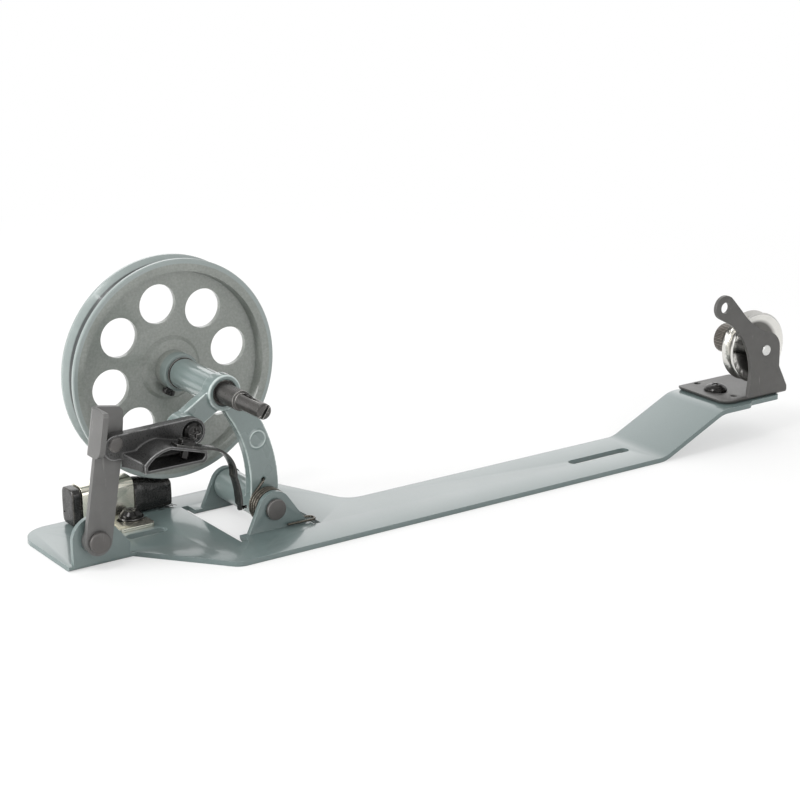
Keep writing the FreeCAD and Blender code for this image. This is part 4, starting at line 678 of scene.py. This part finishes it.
swingArmLook = {
    "voxel": 0.34, "rounds": 7, "rubbedAndHighlighted": (0.02, 0.07),
    # bores that stay sharp: x, z and radius
    "keepSharp": [(0.0, 10.0, 3.1), (-16.1, 57.0, 4.95), (-33.2, 46.5, 2.55), (0.0, 19.6, 0.83)],
    "markPlace": (-2.2, 8.0, 36.1), "markRadius": 3.3, "markRidge": 0.5,
}
latchLinkLook = {
    "voxel": 0.24, "rounds": 8, "rubbedAndHighlighted": (0.015, 0.05),
    "skirtLow": (-59.0, -8.2, 38.9), "skirtHigh": (-57.9, 2.0, 42.2),
    # how far the skirt's rear end spreads: left, right, down and up
    "skirtSpread": (3.3, 0.9, 0.3, 2.0),
    "keepSharp": [(-64.6, 47.85, 2.25), (-33.2, 46.5, 2.55)],
}
castSkin = {"sharpMargin": 0.4, "factor": 0.5, "firstRounds": 3}


def castPiece(node, look, material, extra=None):
    piece = copyOfNode(node, node + "_casting")
    if extra:
        extra.select_set(True)
        bpy.context.view_layer.objects.active = piece
        bpy.ops.object.join()
    applyModifier(piece, "REMESH", mode="VOXEL", voxel_size=look["voxel"] * mm, adaptivity=0.0)
    group = piece.vertex_groups.new(name="soft")
    for vertex in piece.data.vertices:
        x, y, z = (c / mm for c in vertex.co)
        near = min(math.hypot(x - bore[0], z - bore[1]) - bore[2] for bore in look["keepSharp"])
        group.add([vertex.index], 0.0 if near < castSkin["sharpMargin"] else 1.0, "REPLACE")
    applyModifier(piece, "SMOOTH", factor=castSkin["factor"], iterations=castSkin["firstRounds"],
                  vertex_group="soft")
    before = [vertex.co.copy() for vertex in piece.data.vertices]
    applyModifier(piece, "SMOOTH", factor=castSkin["factor"], iterations=look["rounds"], vertex_group="soft")
    piece.vertex_groups.clear()
    pick(piece)
    bpy.ops.object.shade_smooth()
    # an outward corner has sunk most under the smoothing, so that is where the paint is worn bright and given
    # a painted highlight
    sunk = [(old - vertex.co).dot(vertex.normal) / mm for old, vertex in zip(before, piece.data.vertices)]
    low, high = look["rubbedAndHighlighted"]
    storeWearAndHighlight(piece.data, [min(1.0, max(0.0, (s - low) / (high - low))) for s in sunk])
    return finishPiece(piece, material, bodyOf[node], [node])


def castMark(look):
    # a plain raised ring on the leg's face
    deselectAll()
    bpy.ops.mesh.primitive_torus_add(
        major_radius=look["markRadius"] * mm, minor_radius=look["markRidge"] * mm, major_segments=48,
        minor_segments=10, location=[c * mm for c in look["markPlace"]], rotation=(math.pi / 2, 0, 0))
    ring = bpy.context.object
    applyPlace(ring)
    return ring


def blockBetween(low, high):
    # an upright block between two corners
    deselectAll()
    middle = [(a + b) / 2 * mm for a, b in zip(low, high)]
    span = [(b - a) * mm for a, b in zip(low, high)]
    bpy.ops.mesh.primitive_cube_add(size=1.0, location=middle, scale=span)
    block = bpy.context.object
    applyPlace(block)
    return block


def moveCorners(block, chosen, shift):
    # moves the corners that satisfy the test
    pick(block)
    bpy.ops.object.mode_set(mode="EDIT")
    bpy.ops.mesh.select_mode(type="VERT")
    bpy.ops.mesh.select_all(action="DESELECT")
    bpy.ops.object.mode_set(mode="OBJECT")
    for vertex in block.data.vertices:
        vertex.select = chosen(vertex.co / mm)
    bpy.ops.object.mode_set(mode="EDIT")
    bpy.ops.transform.translate(value=[c * mm for c in shift])
    bpy.ops.object.mode_set(mode="OBJECT")


def hoodSkirt(look):
    # a wedge that lets the hood's left wall spread into the link
    low, high = look["skirtLow"], look["skirtHigh"]
    middle = [(a + b) / 2 for a, b in zip(low, high)]
    skirt = blockBetween(low, high)
    left, right, under, over = look["skirtSpread"]
    moveCorners(skirt, lambda spot: spot.y > middle[1] and spot.z > middle[2], (0.0, 0.0, over))
    moveCorners(skirt, lambda spot: spot.y > middle[1] and spot.z < middle[2], (0.0, 0.0, -under))
    moveCorners(skirt, lambda spot: spot.y > middle[1] and spot.x > middle[0], (right, 0.0, 0.0))
    moveCorners(skirt, lambda spot: spot.y > middle[1] and spot.x < middle[0], (-left, 0.0, 0.0))
    return skirt


castPiece("swing_arm", swingArmLook, castEnamel, castMark(swingArmLook))
castPiece("latch_link", latchLinkLook, linkFinish, hoodSkirt(latchLinkLook))
print("castings ready")


# wound springs

returnSpringLook = {
    "wire": 0.48, "radius": 6.7, "pitch": 1.44, "turns": 3, "start": 2.58, "axisHeight": 10.0,
    "hookHeight": 19.6, "hookBend": 1.1, "hookEnd": 10.3, "footReach": 15.3, "footHeight": 2.85,
    "footTurn": 2.05, "footBack": 4.5, "steps": 150, "movingEnd": 7.0,
}
tensionSpringLook = {
    "wire": 0.45, "wide": 6.2, "narrow": 3.6, "turns": 4.5, "from": -8.7, "to": -0.2, "place": (233.2, 37.2),
    "stepsPerTurn": 36,
}


def wireAlong(name, points, radius):
    curve = bpy.data.curves.new(name, "CURVE")
    curve.dimensions = "3D"
    spline = curve.splines.new("POLY")
    spline.points.add(len(points) - 1)
    for target, point in zip(spline.points, points):
        target.co = (point[0] * mm, point[1] * mm, point[2] * mm, 1.0)
    curve.bevel_depth = radius * mm
    curve.bevel_resolution = 4
    curve.use_fill_caps = True
    piece = bpy.data.objects.new(name, curve)
    bpy.context.scene.collection.objects.link(piece)
    pick(piece)
    bpy.ops.object.convert(target="MESH")
    piece = bpy.context.object
    piece.name = name
    shadeByAngle(piece, 50)
    markWearAndHighlight(piece, 60, 90)
    return piece


def arcPoints(centre, first, second, begin, end, count):
    return [centre + first * math.cos(a) + second * math.sin(a)
            for a in (math.radians(begin + (end - begin) * i / count) for i in range(count + 1))]


def returnSpringPoints(look):
    r = look["radius"]
    top = look["axisHeight"]
    x, low = look["footReach"], look["footHeight"]
    y = look["start"]
    turn = look["footTurn"]
    drop = top - low
    start = math.degrees(math.acos(r / math.hypot(x, drop)) - math.atan2(x, drop))
    rise = look["hookHeight"] - top
    leave = 180.0 - math.degrees(math.acos(r / rise)) + 360.0 * look["turns"]
    coil = []
    steps = look["steps"]
    for index in range(steps + 1):
        swept = (leave - start) * index / steps
        a = math.radians(start + swept)
        coil.append(Vector((-r * math.sin(a), y + look["pitch"] * swept / 360.0, top - r * math.cos(a))))
    inward = (coil[0] - Vector((x, y, low))).normalized()
    outward = -inward
    bend = Vector((x, y - turn, low))
    foot = arcPoints(bend, Vector((0, -turn, 0)), outward * turn, 0.0, 180.0, 16)
    points = [foot[0] + inward * (x - look["footBack"])] + foot
    points += [foot[-1].lerp(coil[0], share) for share in (0.3, 0.6, 0.9)] + coil
    knee = Vector((0.0, coil[-1].y, look["hookHeight"]))
    run = (knee - coil[-1]).normalized()
    curl = look["hookBend"]
    back = Vector((0, 1, 0))
    points.append(coil[-1].lerp(knee - run * curl, 0.5))
    points += arcPoints(knee - run * curl + back * curl, -back * curl, run * curl, 0.0, 90.0, 8)
    points.append(Vector((knee.x, look["hookEnd"], knee.z)))
    return points


def tensionSpringPoints(look):
    points = []
    steps = int(look["turns"] * look["stepsPerTurn"])
    for index in range(steps + 1):
        share = index / steps
        a = 2 * math.pi * look["turns"] * share
        r = look["wide"] + (look["narrow"] - look["wide"]) * share
        y = look["from"] + (look["to"] - look["from"]) * share
        points.append((look["place"][0] + r * math.cos(a), y, look["place"][1] + r * math.sin(a)))
    return points


def addSprings():
    look = returnSpringLook
    piece = wireAlong("return_spring_wire", returnSpringPoints(look), look["wire"])
    piece.data.materials.clear()
    piece.data.materials.append(springFinish)
    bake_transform(piece)
    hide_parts("return_spring")
    look = tensionSpringLook
    piece = wireAlong("tension_spring_wire", tensionSpringPoints(look), look["wire"])
    piece.data.materials.clear()
    piece.data.materials.append(springFinish)
    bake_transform(piece)
    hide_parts("tension_spring")


addSprings()
print("springs ready")


# bobbin clip: a bowed wire lying in the spindle's groove

clipLook = {"wire": 0.3, "front": -15.0, "back": -6.5, "seat": 2.1, "bow": 3.75, "fullness": 0.8, "steps": 24,
            "place": (-16.1, 57.0)}


def addBobbinClip(look):
    points = []
    middle = (look["front"] + look["back"]) / 2
    half = (look["back"] - look["front"]) / 2
    for index in range(look["steps"] + 1):
        share = -1 + 2 * index / look["steps"]
        rise = look["bow"] - look["seat"]
        height = look["seat"] + rise * math.cos(share * math.pi / 2) ** look["fullness"]
        points.append((look["place"][0], middle + share * half, look["place"][1] + height))
    piece = wireAlong("bobbin_clip_wire", points, look["wire"])
    finishPiece(piece, blackSteel, "wheel", ["bobbin_clip"])


addBobbinClip(clipLook)
print("bobbin clip ready")


# brake leather: worn, swollen block with loose threads at its cut end

leatherPieceLook = {
    "voxel": 0.34, "rounds": 22, "lumps": 0.25, "lumpSize": 5.5, "swellRound": 3.8, "blockRound": 1.8,
    "threadRadius": 0.11, "holeRadius": 0.6, "holeDepth": 3.0, "holePlace": (-62.3, 52.6, 6.6),
    "swellLow": (-37.2, 44.2, 2.2), "swellHigh": (-19.9, 54.8, 16.4), "swellDrop": 3.1,
    "threads": [
        [(-22.5, 45.2, 2.5), (-20.9, 44.7, 2.5), (-19.4, 44.9, 2.8), (-18.4, 44.2, 2.4)],
        [(-24.0, 44.9, 2.4), (-22.2, 44.2, 2.3), (-20.8, 43.5, 2.3), (-20.6, 42.6, 2.3)],
        [(-21.4, 46.2, 3.4), (-20.3, 45.9, 3.2), (-19.8, 45.0, 2.3), (-20.2, 44.1, 2.3)],
        [(-27.0, 44.8, 2.5), (-26.2, 43.9, 2.3), (-25.0, 43.4, 2.3), (-24.2, 43.8, 2.3)],
        [(-21.3, 48.2, 2.6), (-20.2, 48.3, 2.4), (-19.2, 47.6, 2.3), (-18.9, 46.7, 2.3)],
    ],
}


def addLeather(look):
    piece = copyOfNode("brake_leather", "brake_leather_worn")
    flattenFaces(piece)
    low, high = look["swellLow"], look["swellHigh"]
    swell = blockBetween(low, high)
    middle = [(a + b) / 2 for a, b in zip(low, high)]
    moveCorners(swell, lambda spot: spot.x > middle[0] and spot.z > middle[2], (0.0, 0.0, -look["swellDrop"]))
    for block, width in ((swell, look["swellRound"]), (piece, look["blockRound"])):
        applyModifier(block, "BEVEL", width=width * mm, segments=4, limit_method="ANGLE",
                      angle_limit=math.radians(50), use_clamp_overlap=True)
    deselectAll()
    swell.select_set(True)
    piece.select_set(True)
    bpy.context.view_layer.objects.active = piece
    bpy.ops.object.join()
    piece = bpy.context.object
    applyModifier(piece, "REMESH", mode="VOXEL", voxel_size=look["voxel"] * mm, adaptivity=0.0)
    applyModifier(piece, "SMOOTH", factor=0.5, iterations=look["rounds"])
    deselectAll()
    bpy.ops.mesh.primitive_cylinder_add(
        vertices=20, radius=look["holeRadius"] * mm, depth=look["holeDepth"] * mm,
        location=[c * mm for c in look["holePlace"]], rotation=(0, math.pi / 2, 0))
    drill = bpy.context.object
    applyPlace(drill)
    applyModifier(piece, "BOOLEAN", operation="DIFFERENCE", object=drill, solver="EXACT")
    bpy.data.objects.remove(drill)
    lumps = bpy.data.textures.new("lumps", "CLOUDS")
    lumps.noise_scale = look["lumpSize"] * mm
    applyModifier(piece, "DISPLACE", texture=lumps, texture_coords="LOCAL", strength=-look["lumps"] * mm,
                  mid_level=0.0)
    pick(piece)
    bpy.ops.object.shade_smooth()
    markWearAndHighlight(piece, 4.0, 12.0)
    finishPiece(piece, brakeLeather, "base", ["brake_leather"])
    for index, thread in enumerate(look["threads"]):
        curve = bpy.data.curves.new("thread", "CURVE")
        curve.dimensions = "3D"
        spline = curve.splines.new("NURBS")
        spline.points.add(len(thread) - 1)
        for target, point in zip(spline.points, thread):
            target.co = (point[0] * mm, point[1] * mm, point[2] * mm, 1.0)
        spline.order_u = 3
        spline.use_endpoint_u = True
        curve.bevel_depth = look["threadRadius"] * mm
        curve.bevel_resolution = 2
        strand = bpy.data.objects.new("leather_thread_%d" % (index + 1), curve)
        bpy.context.scene.collection.objects.link(strand)
        pick(strand)
        bpy.ops.object.convert(target="MESH")
        finishPiece(bpy.context.object, brakeLeather, "base")


addLeather(leatherPieceLook)
print("brake leather ready")
